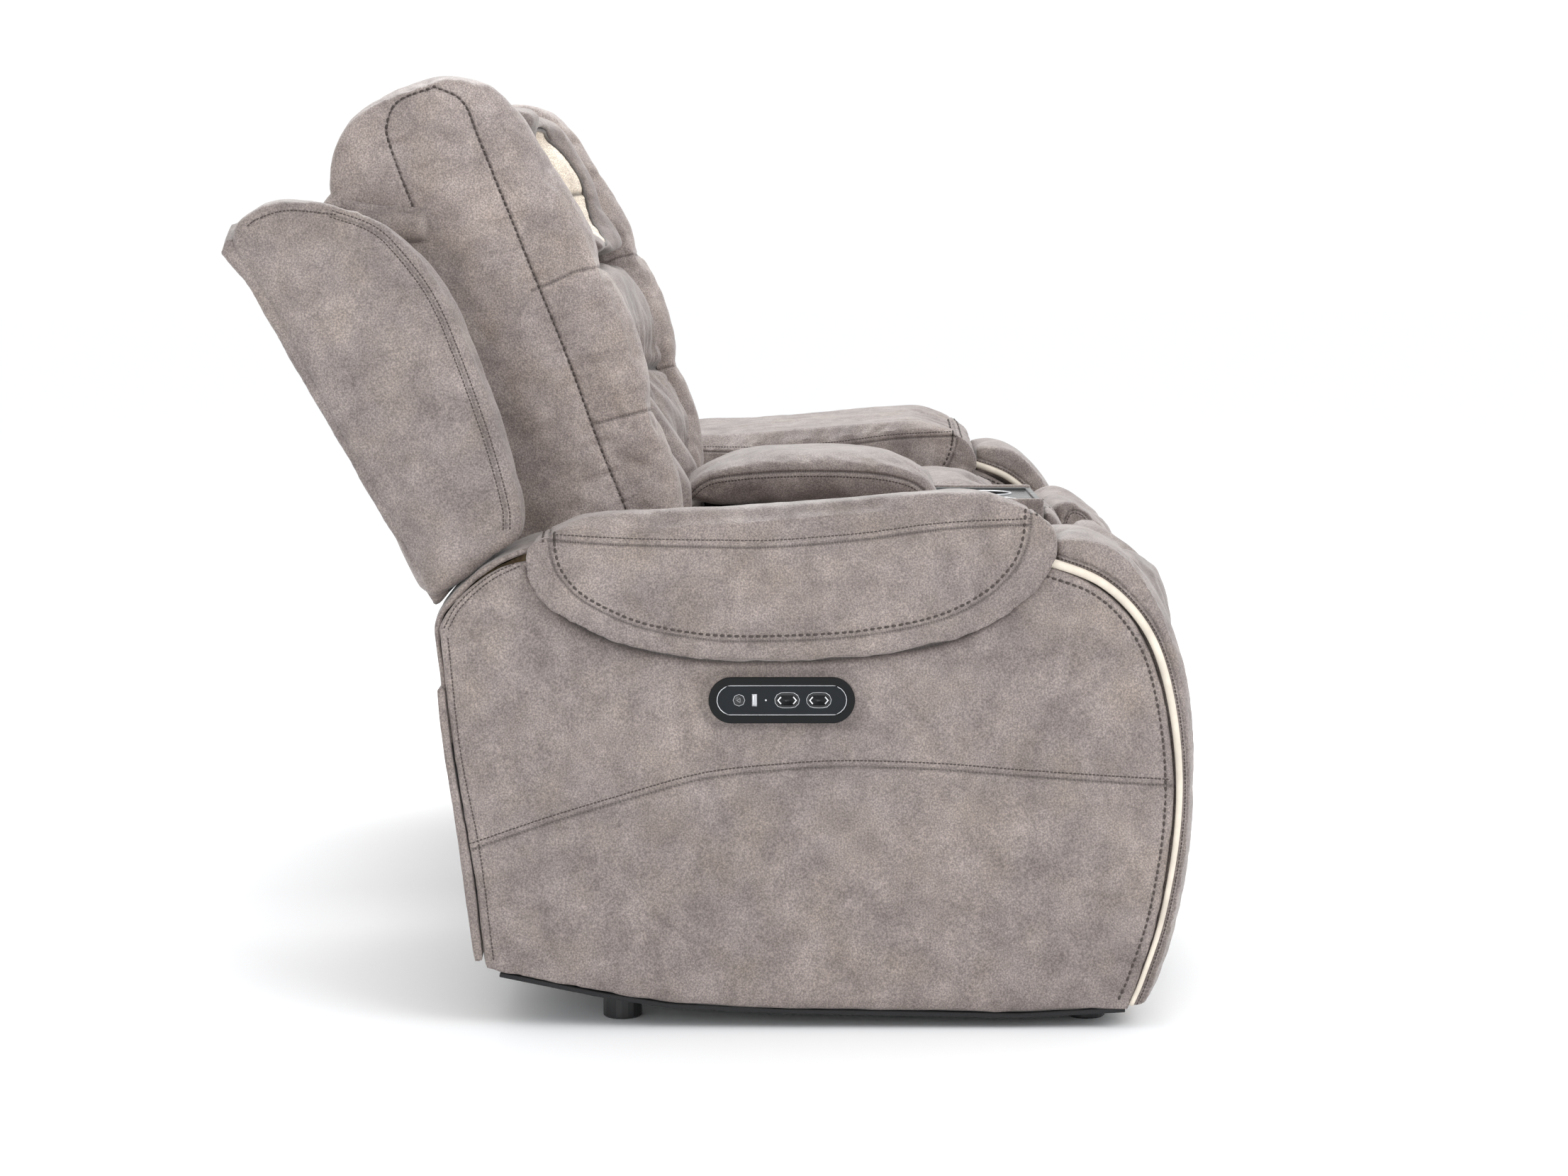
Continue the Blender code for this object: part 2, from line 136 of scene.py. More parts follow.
def blankFrom(node, name, voxel=0.006, soften=8, corner=35, slim=(0, 0, 0)):
    # a copy of a CAD node, its outline rounded and its skin evenly meshed
    piece = bpy.data.objects.new(name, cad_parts[node].data.copy())
    scene.collection.objects.link(piece)
    piece.data.materials.clear()
    only(piece)
    bpy.ops.object.mode_set(mode="EDIT")
    bpy.ops.mesh.select_all(action="SELECT")
    bpy.ops.mesh.remove_doubles(threshold=0.0001)
    bpy.ops.mesh.tris_convert_to_quads()
    bpy.ops.object.mode_set(mode="OBJECT")
    shape = bmesh.new()
    shape.from_mesh(piece.data)
    crease = shape.edges.layers.float.get("crease_edge") or shape.edges.layers.float.new("crease_edge")
    for edge in shape.edges:
        if edge.calc_face_angle(0) > math.radians(corner):
            edge[crease] = 1
    shape.to_mesh(piece.data)
    shape.free()
    writePoints(piece, slimDown(readPoints(piece), node, slim))
    applyModifier(piece, "SUBSURF", levels=2, render_levels=2)
    piece.data.remesh_voxel_size = voxel
    only(piece)
    bpy.ops.object.voxel_remesh()
    if soften:
        applyModifier(piece, "SMOOTH", factor=0.5, iterations=soften)
    return piece


def swell(piece, node, look, pinned):
    # blows the piece up like a filled cover held along its seams, then keeps each point in its room
    before = readPoints(piece)
    cap, stand = look["cap"], look.get("stand", 0.003)
    hold = np.zeros(len(before))
    for line in pinned:
        if len(line) > 3:
            distance, index = nearestOn(line, before)
            hold = np.maximum(hold, np.exp(-(distance / look.get("holdWidth", 0.008)) ** 2))
    group = piece.vertex_groups.new(name="held")
    for number in np.flatnonzero(hold > 0.05):
        group.add([int(number)], float(hold[number]), "REPLACE")
    cloth = piece.modifiers.new("cloth", "CLOTH")
    cloth.settings.quality = 4
    cloth.settings.use_pressure = True
    cloth.settings.uniform_pressure_force = look.get("pressure", 4.0)
    cloth.settings.effector_weights.gravity = 0
    cloth.settings.shrink_min = look.get("loose", -0.02)
    cloth.settings.vertex_group_mass = "held"
    cloth.collision_settings.use_collision = False
    for number in range(1, look.get("frames", 18) + 1):
        scene.frame_set(number)
    only(piece)
    bpy.ops.object.modifier_apply(modifier="cloth")
    after = readPoints(piece)
    piece.vertex_groups.clear()
    scene.frame_set(1)
    move = after - before
    length = np.linalg.norm(move, axis=1, keepdims=True)
    move *= np.minimum(1, cap / np.maximum(length, 1e-9))
    low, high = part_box(node)
    stand = np.array(stand)
    points = before + move
    # presses softly against the room's walls instead of being cut off flat
    for axis in range(3):
        spare = np.broadcast_to(stand, 3)[axis]
        over = points[:, axis] - (high[axis] + spare - 0.004)
        points[:, axis] -= np.where(over > 0, over - 0.004 * np.tanh(over / 0.004), 0)
        under = (low[axis] - spare + 0.004) - points[:, axis]
        points[:, axis] += np.where(under > 0, under - 0.004 * np.tanh(under / 0.004), 0)
    writePoints(piece, points)
    applyModifier(piece, "SMOOTH", factor=0.5, iterations=look.get("relax", 2))


def addPuffs(piece, size, seed, height, stretch=(1, 1, 1)):
    points = readPoints(piece)
    wave = ripple(points, size, seed, stretch)
    writePoints(piece, points + readNormals(piece) * (wave * height)[:, None])


def refine(piece, lines, reach):
    # splits the faces beside the seams, so that they are drawn sharply
    points = readPoints(piece)
    close = np.zeros(len(points), bool)
    for line in lines:
        inside = ((points > line.min(0) - reach) & (points < line.max(0) + reach)).all(1)
        chosen = np.flatnonzero(inside)
        if len(chosen):
            distance, index = nearestOn(line, points[chosen])
            close[chosen[distance < reach]] = True
    shape = bmesh.new()
    shape.from_mesh(piece.data)
    shape.verts.ensure_lookup_table()
    edges = [edge for edge in shape.edges if close[edge.verts[0].index] and close[edge.verts[1].index]]
    bmesh.ops.subdivide_edges(shape, edges=edges, cuts=1, use_grid_fill=True)
    shape.to_mesh(piece.data)
    shape.free()


def seamLine(piece, entry):
    # an outline drawn in the plane across its view, dropped onto the piece
    toward = entry["toward"]
    axis = int(np.argmax(np.abs(toward)))
    middle = readPoints(piece)
    middle = (middle[:, axis].min() + middle[:, axis].max()) / 2
    points = [np.insert(np.array(point, float), axis, middle) for point in entry["line"]]
    line, normals = onSurface(piece, smoothLine(points, 0.003, entry.get("closed", False)), toward)
    return line, normals


def sink(piece, line, normals, depth, width, pucker, reach, seed):
    # draws a sewn seam into the skin, with gathers across it where it is puckered, and paints shade into
    # its groove
    skin = readPoints(piece)
    facing = readNormals(piece)
    near = np.flatnonzero(((skin > line.min(0) - 3 * reach) & (skin < line.max(0) + 3 * reach)).all(1))
    distance, index = nearestOn(line, skin[near])
    same = (facing[near] * normals[index]).sum(1) > 0.15
    fall = np.exp(-(distance / width) ** 2) * same
    drop = depth * fall
    if pucker:
        draw = np.random.default_rng(seed)
        steps = np.arange(len(line)) * 0.003
        wave = np.zeros(len(line))
        for size in (0.013, 0.019, 0.031, 0.053):
            wave += np.sin(2 * math.pi * steps / size + draw.uniform(0, 6.28)) * draw.uniform(0.4, 1)
        wave = np.clip(wave, -0.4, 1.8) / 1.8
        drop += pucker * wave[index] * np.exp(-distance / reach) * (1 - fall) * same
    skin[near] -= facing[near] * drop[:, None]
    writePoints(piece, skin)
    # painted shade: seamShade is strongest on the seam's line, for the shade inside the groove; the suede
    # darkens by it
    shadeLayer = piece.data.attributes.get("seamShade")
    if shadeLayer is None:
        shadeLayer = piece.data.attributes.new("seamShade", "FLOAT", "POINT")
    dark = np.zeros(len(skin), np.float32)
    shadeLayer.data.foreach_get("value", dark)
    shade = np.exp(-(distance / (0.75 * width)) ** 2) * same * min(depth / 0.003, 1)
    dark[near] = np.maximum(dark[near], shade)
    shadeLayer.data.foreach_set("value", dark)


def stitch(piece, key, line, toward, beside=0.0, pitch=0.006, length=0.0042, radius=0.0007):
    # a row of stitches beside a line: each is a short sunk bead of five sides
    toward = np.array(toward, float)
    if len(line) < 4:
        return
    along = np.gradient(line, axis=0)
    along /= np.maximum(np.linalg.norm(along, axis=1, keepdims=True), 1e-9)
    side = np.cross(along, toward)
    side /= np.maximum(np.linalg.norm(side, axis=1, keepdims=True), 1e-9)
    places, normals = onSurface(piece, smoothLine(line[::3] + side[::3] * beside, pitch), toward)
    if len(places) < 3:
        return
    along = np.gradient(places, axis=0)
    along /= np.maximum(np.linalg.norm(along, axis=1, keepdims=True), 1e-9)
    across = np.cross(normals, along)
    turns = [2 * math.pi * turn / 5 for turn in range(5)]
    faces = []
    for ring in range(3):
        for turn in range(5):
            a, b = ring * 5 + turn, ring * 5 + (turn + 1) % 5
            faces.append((a, b, b + 5, a + 5))
    faces.append(tuple(reversed(range(5))))
    faces.append(tuple(range(15, 20)))
    bead = []
    for reachAlong, fat in ((-0.5, 0.4), (-0.3, 1.0), (0.3, 1.0), (0.5, 0.4)):
        for turn in turns:
            bead.append((reachAlong * length, math.cos(turn) * radius * fat, math.sin(turn) * radius * fat))
    bead = np.array(bead)
    store = stitchRows.setdefault(key, ([], []))
    for place, way, cross, normal in zip(places, along, across, normals):
        corners = place + bead[:, :1] * way + bead[:, 1:2] * cross + bead[:, 2:] * normal
        start = len(store[0])
        store[0].extend(corners.tolist())
        store[1].extend(tuple(start + corner for corner in face) for face in faces)


def slimDown(points, node, slim):
    low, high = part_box(node)
    for axis in range(3):
        size = max(high[axis] - low[axis], 0.001)
        middle = (low[axis] + high[axis]) / 2
        points[:, axis] = middle + (points[:, axis] - middle) * (1 - 2 * slim[axis] / size)
    return points


def fitRoom(piece, node, spare):
    # brings the filled piece back to the CAD node's own extents, plus what it may stand proud
    low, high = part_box(node)
    points = readPoints(piece)
    small, large = points.min(0), points.max(0)
    spare = np.broadcast_to(np.array(spare, float), 3)
    for axis in range(3):
        size = high[axis] - low[axis] + 2 * spare[axis]
        points[:, axis] = low[axis] - spare[axis] + (points[:, axis] - small[axis]) * size / (
            large[axis] - small[axis])
    writePoints(piece, points)


def sew(look):
    # one upholstered piece: rounded blank, filled, sewn, stitched, dressed and hung on its body
    node = look["node"]
    name = look["name"]
    seams = look.get("seams", ())
    finish = look.get("finish", "suede")
    piece = blankFrom(node, name, look["voxel"], look["soften"], look.get("corner", 35),
                      look.get("slim", (0.003, 0.003, 0.003)))
    if "shape" in look:
        writePoints(piece, look["shape"](readPoints(piece)))
    pinned = [seamLine(piece, entry)[0] for entry in seams if entry.get("hold", True)]
    if look.get("cap"):
        swell(piece, node, look, pinned)
    if look.get("finer", 0):
        applyModifier(piece, "SUBSURF", levels=look["finer"], render_levels=look["finer"])
    for size, height, stretch in look.get("waves", ()):
        addPuffs(piece, size, look["seed"], height, stretch)
    if look.get("grow"):
        writePoints(piece, readPoints(piece) + readNormals(piece) * look["grow"])
    if "room" in look:
        fitRoom(piece, node, look["room"])
    traced = [seamLine(piece, entry) for entry in seams]
    drawn = [line for (line, normals), entry in zip(traced, seams) if entry.get("depth", 0.003) > 0.001]
    refine(piece, [line for line in drawn if len(line) > 3], look.get("fine", 0.0055))
    for number, (entry, (line, normals)) in enumerate(zip(seams, traced)):
        if len(line) < 4:
            print("a seam of", name, "misses it:", number)
            continue
        sink(piece, line, normals, entry.get("depth", 0.003), entry.get("width", 0.0028),
             entry.get("pucker", 0.0), entry.get("reach", 0.018), look["seed"] * 31 + number)
    for entry, (line, normals) in zip(seams, traced):
        for beside, kind in entry.get("rows", ()):
            stitch(piece, (look["body"], look.get("pair", True)), line, entry["toward"], beside,
                   **stitchKinds[kind])
    dress(piece, finish)
    if "after" in look:
        look["after"](piece)
    if look.get("pair", True):
        bothSides(piece, look["body"], node)
    else:
        settle(piece, look["body"], [node])
    print("sewn", name, len(piece.data.polygons))
    return piece


def layStitches():
    # joins each body's stitches into one piece, and copies the right-hand ones to the left
    for (body, paired), (corners, faces) in stitchRows.items():
        mesh = bpy.data.meshes.new("stitches")
        mesh.from_pydata(corners, [], faces)
        name = body.replace("_", " ").title().replace(" ", "") + "Stitches"
        if paired and body == "root":
            name = "rightArmStitches"
        elif not paired and body == "root":
            name = "consoleStitches"
        name = name[0].lower() + name[1:]
        piece = bpy.data.objects.new(name, mesh)
        scene.collection.objects.link(piece)
        dress(piece, "thread")
        if paired:
            bothSides(piece, body, None)
        else:
            settle(piece, body)
        print("stitches", name, len(faces) // 17)


def cordAlong(name, points, radius, material, closed=False, sides=10):
    # a round cord or welt on a smooth line; radius may be one value for each point
    line = smoothLine(points, 0.005, closed)
    curve = bpy.data.curves.new(name, "CURVE")
    curve.dimensions = "3D"
    curve.bevel_depth = 1.0
    curve.bevel_resolution = sides // 2 - 2
    curve.use_fill_caps = not closed
    if closed:
        line = line[:-1]
    sizes = np.interp(np.linspace(0, 1, len(line)), np.linspace(0, 1, len(np.atleast_1d(radius))),
                      np.atleast_1d(radius)) if np.ndim(radius) else np.full(len(line), radius)
    spline = curve.splines.new("POLY")
    spline.points.add(len(line) - 1)
    for point, place, size in zip(spline.points, line, sizes):
        point.co = (*place, 1)
        point.radius = size
    spline.use_cyclic_u = closed
    piece = bpy.data.objects.new(name, curve)
    scene.collection.objects.link(piece)
    only(piece)
    bpy.ops.object.convert(target="MESH")
    piece = bpy.context.object
    bpy.ops.object.mode_set(mode="EDIT")
    bpy.ops.mesh.select_all(action="SELECT")
    bpy.ops.mesh.remove_doubles(threshold=0.0001)
    bpy.ops.object.mode_set(mode="OBJECT")
    dress(piece, material)
    return piece


def dress(piece, material):
    piece.data.materials.clear()
    piece.data.materials.append(materials[material])
    only(piece)
    bpy.ops.object.shade_smooth()


def settle(piece, body, nodes=()):
    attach(piece, body)
    if nodes:
        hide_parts(*nodes)


def mirrored(piece, name):
    # the left-hand copy of a right-hand piece
    copy = bpy.data.objects.new(name, piece.data.copy())
    scene.collection.objects.link(copy)
    points = readPoints(copy)
    points[:, 0] *= -1
    writePoints(copy, points)
    only(copy)
    bpy.ops.object.mode_set(mode="EDIT")
    bpy.ops.mesh.select_all(action="SELECT")
    bpy.ops.mesh.flip_normals()
    bpy.ops.object.mode_set(mode="OBJECT")
    return copy


def bothSides(piece, body, node):
    # puts the right-hand piece on its body, and its mirror image on the left
    other = mirrored(piece, piece.name.replace("right", "left", 1))
    rightNodes = [node] if node else []
    settle(piece, body, rightNodes)
    leftNodes = [name.replace("right_", "left_", 1) for name in rightNodes]
    settle(other, body.replace("right_", "left_", 1), leftNodes)


def nodeTree(name):
    material = bpy.data.materials.new(name)
    material.use_nodes = True
    tree = material.node_tree
    return material, tree, tree.nodes["Principled BSDF"]


def link(tree, a, b):
    tree.links.new(a, b)


def noiseNode(tree, coordinates, scale, detail=3.0, roughness=0.55, distortion=0.0):
    node = tree.nodes.new("ShaderNodeTexNoise")
    node.inputs["Scale"].default_value = scale
    node.inputs["Detail"].default_value = detail
    node.inputs["Roughness"].default_value = roughness
    node.inputs["Distortion"].default_value = distortion
    link(tree, coordinates, node.inputs["Vector"])
    return node


def rampNode(tree, source, stops):
    node = tree.nodes.new("ShaderNodeValToRGB")
    ramp = node.color_ramp
    while len(ramp.elements) < len(stops):
        ramp.elements.new(0.5)
    for element, (place, colour) in zip(ramp.elements, stops):
        element.position = place
        element.color = (*colour, 1)
    link(tree, source, node.inputs["Fac"])
    return node.outputs["Color"]


def mixNode(tree, kind, amount, first, second):
    node = tree.nodes.new("ShaderNodeMix")
    node.data_type = "RGBA"
    node.blend_type = kind
    for key, value in (("Factor", amount), ("A", first), ("B", second)):
        socket = node.inputs[key]
        if isinstance(value, (int, float)):
            socket.default_value = value
        elif isinstance(value, tuple):
            socket.default_value = (*value, 1)
        else:
            link(tree, value, socket)
    return node.outputs["Result"]


suedeLook = {
    "dark": (0.148, 0.1225, 0.1145),
    "middle": (0.192, 0.1605, 0.1505),
    "light": (0.242, 0.2040, 0.1915),
    "warm": (0.225, 0.180, 0.146),
    "cloud": 7.0,
    "blotch": 24.0,
    "speck": 520.0,
    "grain": 560.0,
}
# painted light: a lighter copy of the grey suede, for the outer bolsters' sides where more light falls
litBolsterLook = {
    "dark": (0.205, 0.170, 0.158),
    "middle": (0.262, 0.220, 0.206),
    "light": (0.325, 0.276, 0.259),
    "warm": (0.300, 0.240, 0.196),
    "cloud": 7.0,
    "blotch": 24.0,
    "speck": 520.0,
    "grain": 560.0,
}
creamLook = {
    "dark": (0.560, 0.480, 0.400),
    "middle": (0.660, 0.580, 0.490),
    "light": (0.760, 0.690, 0.600),
    "warm": (0.640, 0.540, 0.420),
    "cloud": 9.0,
    "blotch": 24.0,
    "speck": 520.0,
    "grain": 560.0,
}
weltLook = {
    "dark": (0.050, 0.042, 0.038),
    "middle": (0.072, 0.062, 0.056),
    "light": (0.098, 0.086, 0.078),
    "warm": (0.085, 0.066, 0.052),
    "cloud": 11.0,
    "blotch": 40.0,
    "speck": 520.0,
    "grain": 560.0,
}


def suede(name, look):
    # brushed faux suede: cloudy colour, pale rubbed specks, a fine pebble grain and shade painted along the
    # seams
    material, tree, shader = nodeTree(name)
    place = tree.nodes.new("ShaderNodeTexCoord").outputs["Object"]
    cloud = noiseNode(tree, place, look["cloud"], 4.0, 0.6)
    blotch = noiseNode(tree, place, look["blotch"], 6.0, 0.68, 0.3)
    speck = noiseNode(tree, place, look["speck"], 4.0, 0.7)
    tint = noiseNode(tree, place, look["cloud"] * 2.6, 3.0, 0.5)
    base = rampNode(tree, blotch.outputs["Fac"], ((0.33, look["dark"]), (0.5, look["middle"]),
                                                  (0.68, look["light"])))
    shade = rampNode(tree, cloud.outputs["Fac"], ((0.34, (0.87, 0.87, 0.88)), (0.50, (1.0, 1.0, 1.0)),
                                                  (0.68, (1.14, 1.13, 1.11))))
    colour = mixNode(tree, "MULTIPLY", 1.0, base, shade)
    warmth = rampNode(tree, tint.outputs["Fac"], ((0.47, (0, 0, 0)), (0.72, (0.30, 0.30, 0.30))))
    colour = mixNode(tree, "MIX", warmth, colour, look["warm"])
    rub = rampNode(tree, speck.outputs["Fac"], ((0.38, (0.64, 0.63, 0.63)), (0.50, (1.0, 1.0, 1.0)),
                                                (0.62, (1.48, 1.47, 1.45))))
    colour = mixNode(tree, "MULTIPLY", 1.0, colour, rub)
    # painted shade: where seamShade is set, the colour is mixed toward a quarter of the dark tone
    crease = tree.nodes.new("ShaderNodeAttribute")
    crease.attribute_name = "seamShade"
    colour = mixNode(tree, "MIX", crease.outputs["Fac"], colour, tuple(v * 0.25 for v in look["dark"]))
    link(tree, colour, shader.inputs["Base Color"])
    pebble = tree.nodes.new("ShaderNodeTexVoronoi")
    pebble.feature = "SMOOTH_F1"
    pebble.inputs["Scale"].default_value = look["grain"]
    link(tree, place, pebble.inputs["Vector"])
    fine = tree.nodes.new("ShaderNodeBump")
    fine.inputs["Strength"].default_value = 0.5
    fine.inputs["Distance"].default_value = 0.0006
    link(tree, pebble.outputs["Distance"], fine.inputs["Height"])
    hide = tree.nodes.new("ShaderNodeBump")
    hide.inputs["Strength"].default_value = 0.38
    hide.inputs["Distance"].default_value = 0.0020
    link(tree, blotch.outputs["Fac"], hide.inputs["Height"])
    link(tree, fine.outputs["Normal"], hide.inputs["Normal"])
    link(tree, hide.outputs["Normal"], shader.inputs["Normal"])
    roughness = rampNode(tree, blotch.outputs["Fac"], ((0.35, (0.66,) * 3), (0.65, (0.50,) * 3)))
    link(tree, roughness, shader.inputs["Roughness"])
    shader.inputs["Specular IOR Level"].default_value = 0.45
    shader.inputs["Sheen Weight"].default_value = 0.22
    shader.inputs["Sheen Roughness"].default_value = 0.45
    return material


def plainFinish(name, colour, roughness, metallic=0.0, grain=400.0, bump=0.15, spread=0.12):
    # moulded or painted stock: a slightly uneven tone over a fine grain
    material, tree, shader = nodeTree(name)
    place = tree.nodes.new("ShaderNodeTexCoord").outputs["Object"]
    mottle = noiseNode(tree, place, 30.0, 4.0)
    low = tuple(v * (1 - spread) for v in colour)
    high = tuple(min(v * (1 + spread), 1) for v in colour)
    tone = rampNode(tree, mottle.outputs["Fac"], ((0.35, low), (0.65, high)))
    link(tree, tone, shader.inputs["Base Color"])
    smoother, rougher = (roughness - 0.06,) * 3, (roughness + 0.06,) * 3
    rough = rampNode(tree, mottle.outputs["Fac"], ((0.3, smoother), (0.7, rougher)))
    link(tree, rough, shader.inputs["Roughness"])
    texture = noiseNode(tree, place, grain, 2.0)
    relief = tree.nodes.new("ShaderNodeBump")
    relief.inputs["Strength"].default_value = bump
    relief.inputs["Distance"].default_value = 0.0005
    link(tree, texture.outputs["Fac"], relief.inputs["Height"])
    link(tree, relief.outputs["Normal"], shader.inputs["Normal"])
    shader.inputs["Metallic"].default_value = metallic
    return material


def timber():
    # sawn softwood and plywood, grain along X
    material, tree, shader = nodeTree("timber")
    place = tree.nodes.new("ShaderNodeTexCoord").outputs["Object"]
    stretch = tree.nodes.new("ShaderNodeMapping")
    stretch.inputs["Scale"].default_value = (2.0, 26.0, 26.0)
    link(tree, place, stretch.inputs["Vector"])
    grain = noiseNode(tree, stretch.outputs["Vector"], 4.0, 6.0, 0.6, 0.8)
    tone = rampNode(tree, grain.outputs["Fac"], ((0.3, (0.36, 0.23, 0.12)), (0.5, (0.55, 0.39, 0.22)),
                                                 (0.7, (0.68, 0.52, 0.33))))
    link(tree, tone, shader.inputs["Base Color"])
    shader.inputs["Roughness"].default_value = 0.7
    relief = tree.nodes.new("ShaderNodeBump")
    relief.inputs["Strength"].default_value = 0.2
    relief.inputs["Distance"].default_value = 0.001
    link(tree, grain.outputs["Fac"], relief.inputs["Height"])
    link(tree, relief.outputs["Normal"], shader.inputs["Normal"])
    return material


def weave(name, colour):
    # black non-woven dust cloth
    material, tree, shader = nodeTree(name)
    place = tree.nodes.new("ShaderNodeTexCoord").outputs["Object"]
    fibre = noiseNode(tree, place, 900.0, 3.0)
    tone = rampNode(tree, fibre.outputs["Fac"], ((0.4, colour), (0.7, tuple(v * 2.2 for v in colour))))
    link(tree, tone, shader.inputs["Base Color"])
    shader.inputs["Roughness"].default_value = 0.95
    relief = tree.nodes.new("ShaderNodeBump")
    relief.inputs["Strength"].default_value = 0.4
    relief.inputs["Distance"].default_value = 0.0005
    link(tree, fibre.outputs["Fac"], relief.inputs["Height"])
    link(tree, relief.outputs["Normal"], shader.inputs["Normal"])
    return material


materials = {
    "suede": suede("greySuede", suedeLook),
    "cream": suede("creamSuede", creamLook),
    "pale": suede("litBolsterSuede", litBolsterLook),
    "welt": suede("darkWelt", weltLook),
    "piping": plainFinish("creamPiping", (0.60, 0.54, 0.46), 0.6, grain=700.0),
    "panelBlack": plainFinish("panelBlack", (0.004, 0.0045, 0.005), 0.50, grain=900.0),
    "thread": plainFinish("brownThread", (0.045, 0.034, 0.030), 0.6, grain=1500.0),
    "blackPlastic": plainFinish("blackPlastic", (0.012, 0.0125, 0.014), 0.38, grain=900.0),
    "glossBlack": plainFinish("glossBlack", (0.008, 0.009, 0.0105), 0.26, grain=200.0, bump=0.03),
    "silver": plainFinish("silverMark", (0.55, 0.56, 0.58), 0.3, 0.7),
    "panelGrey": plainFinish("panelGrey", (0.009, 0.011, 0.014), 0.55, grain=1200.0),
    "whiteMark": plainFinish("whiteMark", (0.75, 0.76, 0.78), 0.5),
    "steel": plainFinish("blackSteel", (0.030, 0.031, 0.034), 0.35, 0.6, grain=700.0),
    "zinc": plainFinish("zincSteel", (0.50, 0.51, 0.53), 0.35, 0.9),
    "timber": timber(),
    "dustCloth": weave("dustCloth", (0.010, 0.010, 0.011)),
    "backCloth": weave("backCloth", (0.060, 0.053, 0.049)),
}
for name in ("panelGrey", "panelBlack"):
    materials[name].node_tree.nodes["Principled BSDF"].inputs["Specular IOR Level"].default_value = 0.18
print("materials made")


cameraPlace = {"eye": (-5.2663, -0.0612, 0.9363), "pitch": 5.668, "yaw": 0.230, "lens": 88.01}


def makeCamera():
    data = bpy.data.cameras.new("camera")
    data.lens = cameraPlace["lens"]
    data.sensor_width = 36.0
    camera = bpy.data.objects.new("camera", data)
    scene.collection.objects.link(camera)
    camera.location = cameraPlace["eye"]
    tilt = math.radians(90 - cameraPlace["pitch"])
    camera.rotation_euler = (tilt, 0.0, math.radians(-90 - cameraPlace["yaw"]))
    scene.camera = camera


def areaLight(name, place, aim, size, power, tint=(1, 1, 1)):
    data = bpy.data.lights.new(name, "AREA")
    data.shape = "RECTANGLE"
    data.size, data.size_y = size
    data.energy = power
    data.color = tint
    lamp = bpy.data.objects.new(name, data)
    scene.collection.objects.link(lamp)
    lamp.location = place
    lamp.rotation_euler = (Vector(aim) - Vector(place)).to_track_quat("-Z", "Y").to_euler()


def makeStudio():
    bpy.ops.mesh.primitive_plane_add(size=60, location=(0, 0, 0))
    floor = bpy.context.object
    floor.name = "floor"
    material, tree, shader = nodeTree("paleFloor")
    shader.inputs["Base Color"].default_value = (0.97, 0.985, 1.0, 1)
    shader.inputs["Roughness"].default_value = 0.6
    shader.inputs["Specular IOR Level"].default_value = 0.2
    floor.data.materials.append(material)
    world = bpy.data.worlds.new("studio")
    scene.world = world
    world.use_nodes = True
    sky = world.node_tree.nodes["Background"]
    sky.inputs["Color"].default_value = (1.0, 1.0, 1.0, 1)
    sky.inputs["Strength"].default_value = 1.03
    areaLight("key", (-3.7, -2.9, 3.0), (-0.5, 0.0, 0.75), (2.6, 2.4), 100)
    areaLight("fill", (-4.6, 1.0, 0.95), (-0.8, 0.1, 0.6), (1.8, 1.2), 26)
    areaLight("overhead", (1.9, 0.2, 3.6), (0.2, 0.0, 0.0), (2.6, 2.6), 105)
    scene.view_settings.view_transform = "Standard"


makeCamera()
makeStudio()
print("camera and studio made")


fromOutside = (1, 0, 0)
fromInside = (-1, 0, 0)
fromFront = (0, 1, 0)
fromRear = (0, -1, 0)
fromAbove = (0, 0, -1)
stitchKinds = {
    "dotted": {"pitch": 0.0080, "length": 0.0054, "radius": 0.0016},
    "fine": {"pitch": 0.0044, "length": 0.0034, "radius": 0.0008},
    "rope": {"pitch": 0.0070, "length": 0.0066, "radius": 0.0019},
}


def offset(line, distance):
    # an open line moved sideways in its own plane
    line = np.array(line, float)
    along = np.gradient(line, axis=0)
    along /= np.linalg.norm(along, axis=1, keepdims=True)
    return (line + distance * np.stack([-along[:, 1], along[:, 0]], 1)).tolist()


frontEdge = [(-0.373, 0.534), (-0.435, 0.510), (-0.480, 0.466), (-0.506, 0.408), (-0.5215, 0.319),
             (-0.5215, 0.231), (-0.506, 0.133), (-0.484, 0.062), (-0.471, 0.030)]
rearEdge = [(0.262, 0.082), (0.277, 0.208), (0.2975, 0.319), (0.311, 0.452)]
shoulderEdge = [(0.309, 0.466), (0.293, 0.493), (0.258, 0.524), (0.220, 0.543)]
waistSeam = [(0.279, 0.208), (0.186, 0.2397), (0.098, 0.2664), (0.009, 0.2903), (-0.080, 0.3001),
             (-0.151, 0.3036), (-0.2576, 0.3001), (-0.3464, 0.2930), (-0.4352, 0.2868), (-0.5230, 0.2815)]
# the pad's lower outline on the side panel: a shallow groove is sunk along it, and painted shade there
# stands for the shadow under the pad's edge
padFoot = [(-0.384, 0.540), (-0.364, 0.515), (-0.320, 0.475), (-0.258, 0.446), (-0.169, 0.4305),
           (-0.080, 0.425), (0.009, 0.426), (0.098, 0.442), (0.169, 0.475), (0.204, 0.515), (0.211, 0.530)]
controlLoop = [(-0.076 + 0.062 * side + 0.031 * math.cos(turn), 0.381 + 0.031 * math.sin(turn))
               for side, start in ((1, -90), (-1, 90)) for turn in
               [math.radians(start + step * 30) for step in range(7)]]

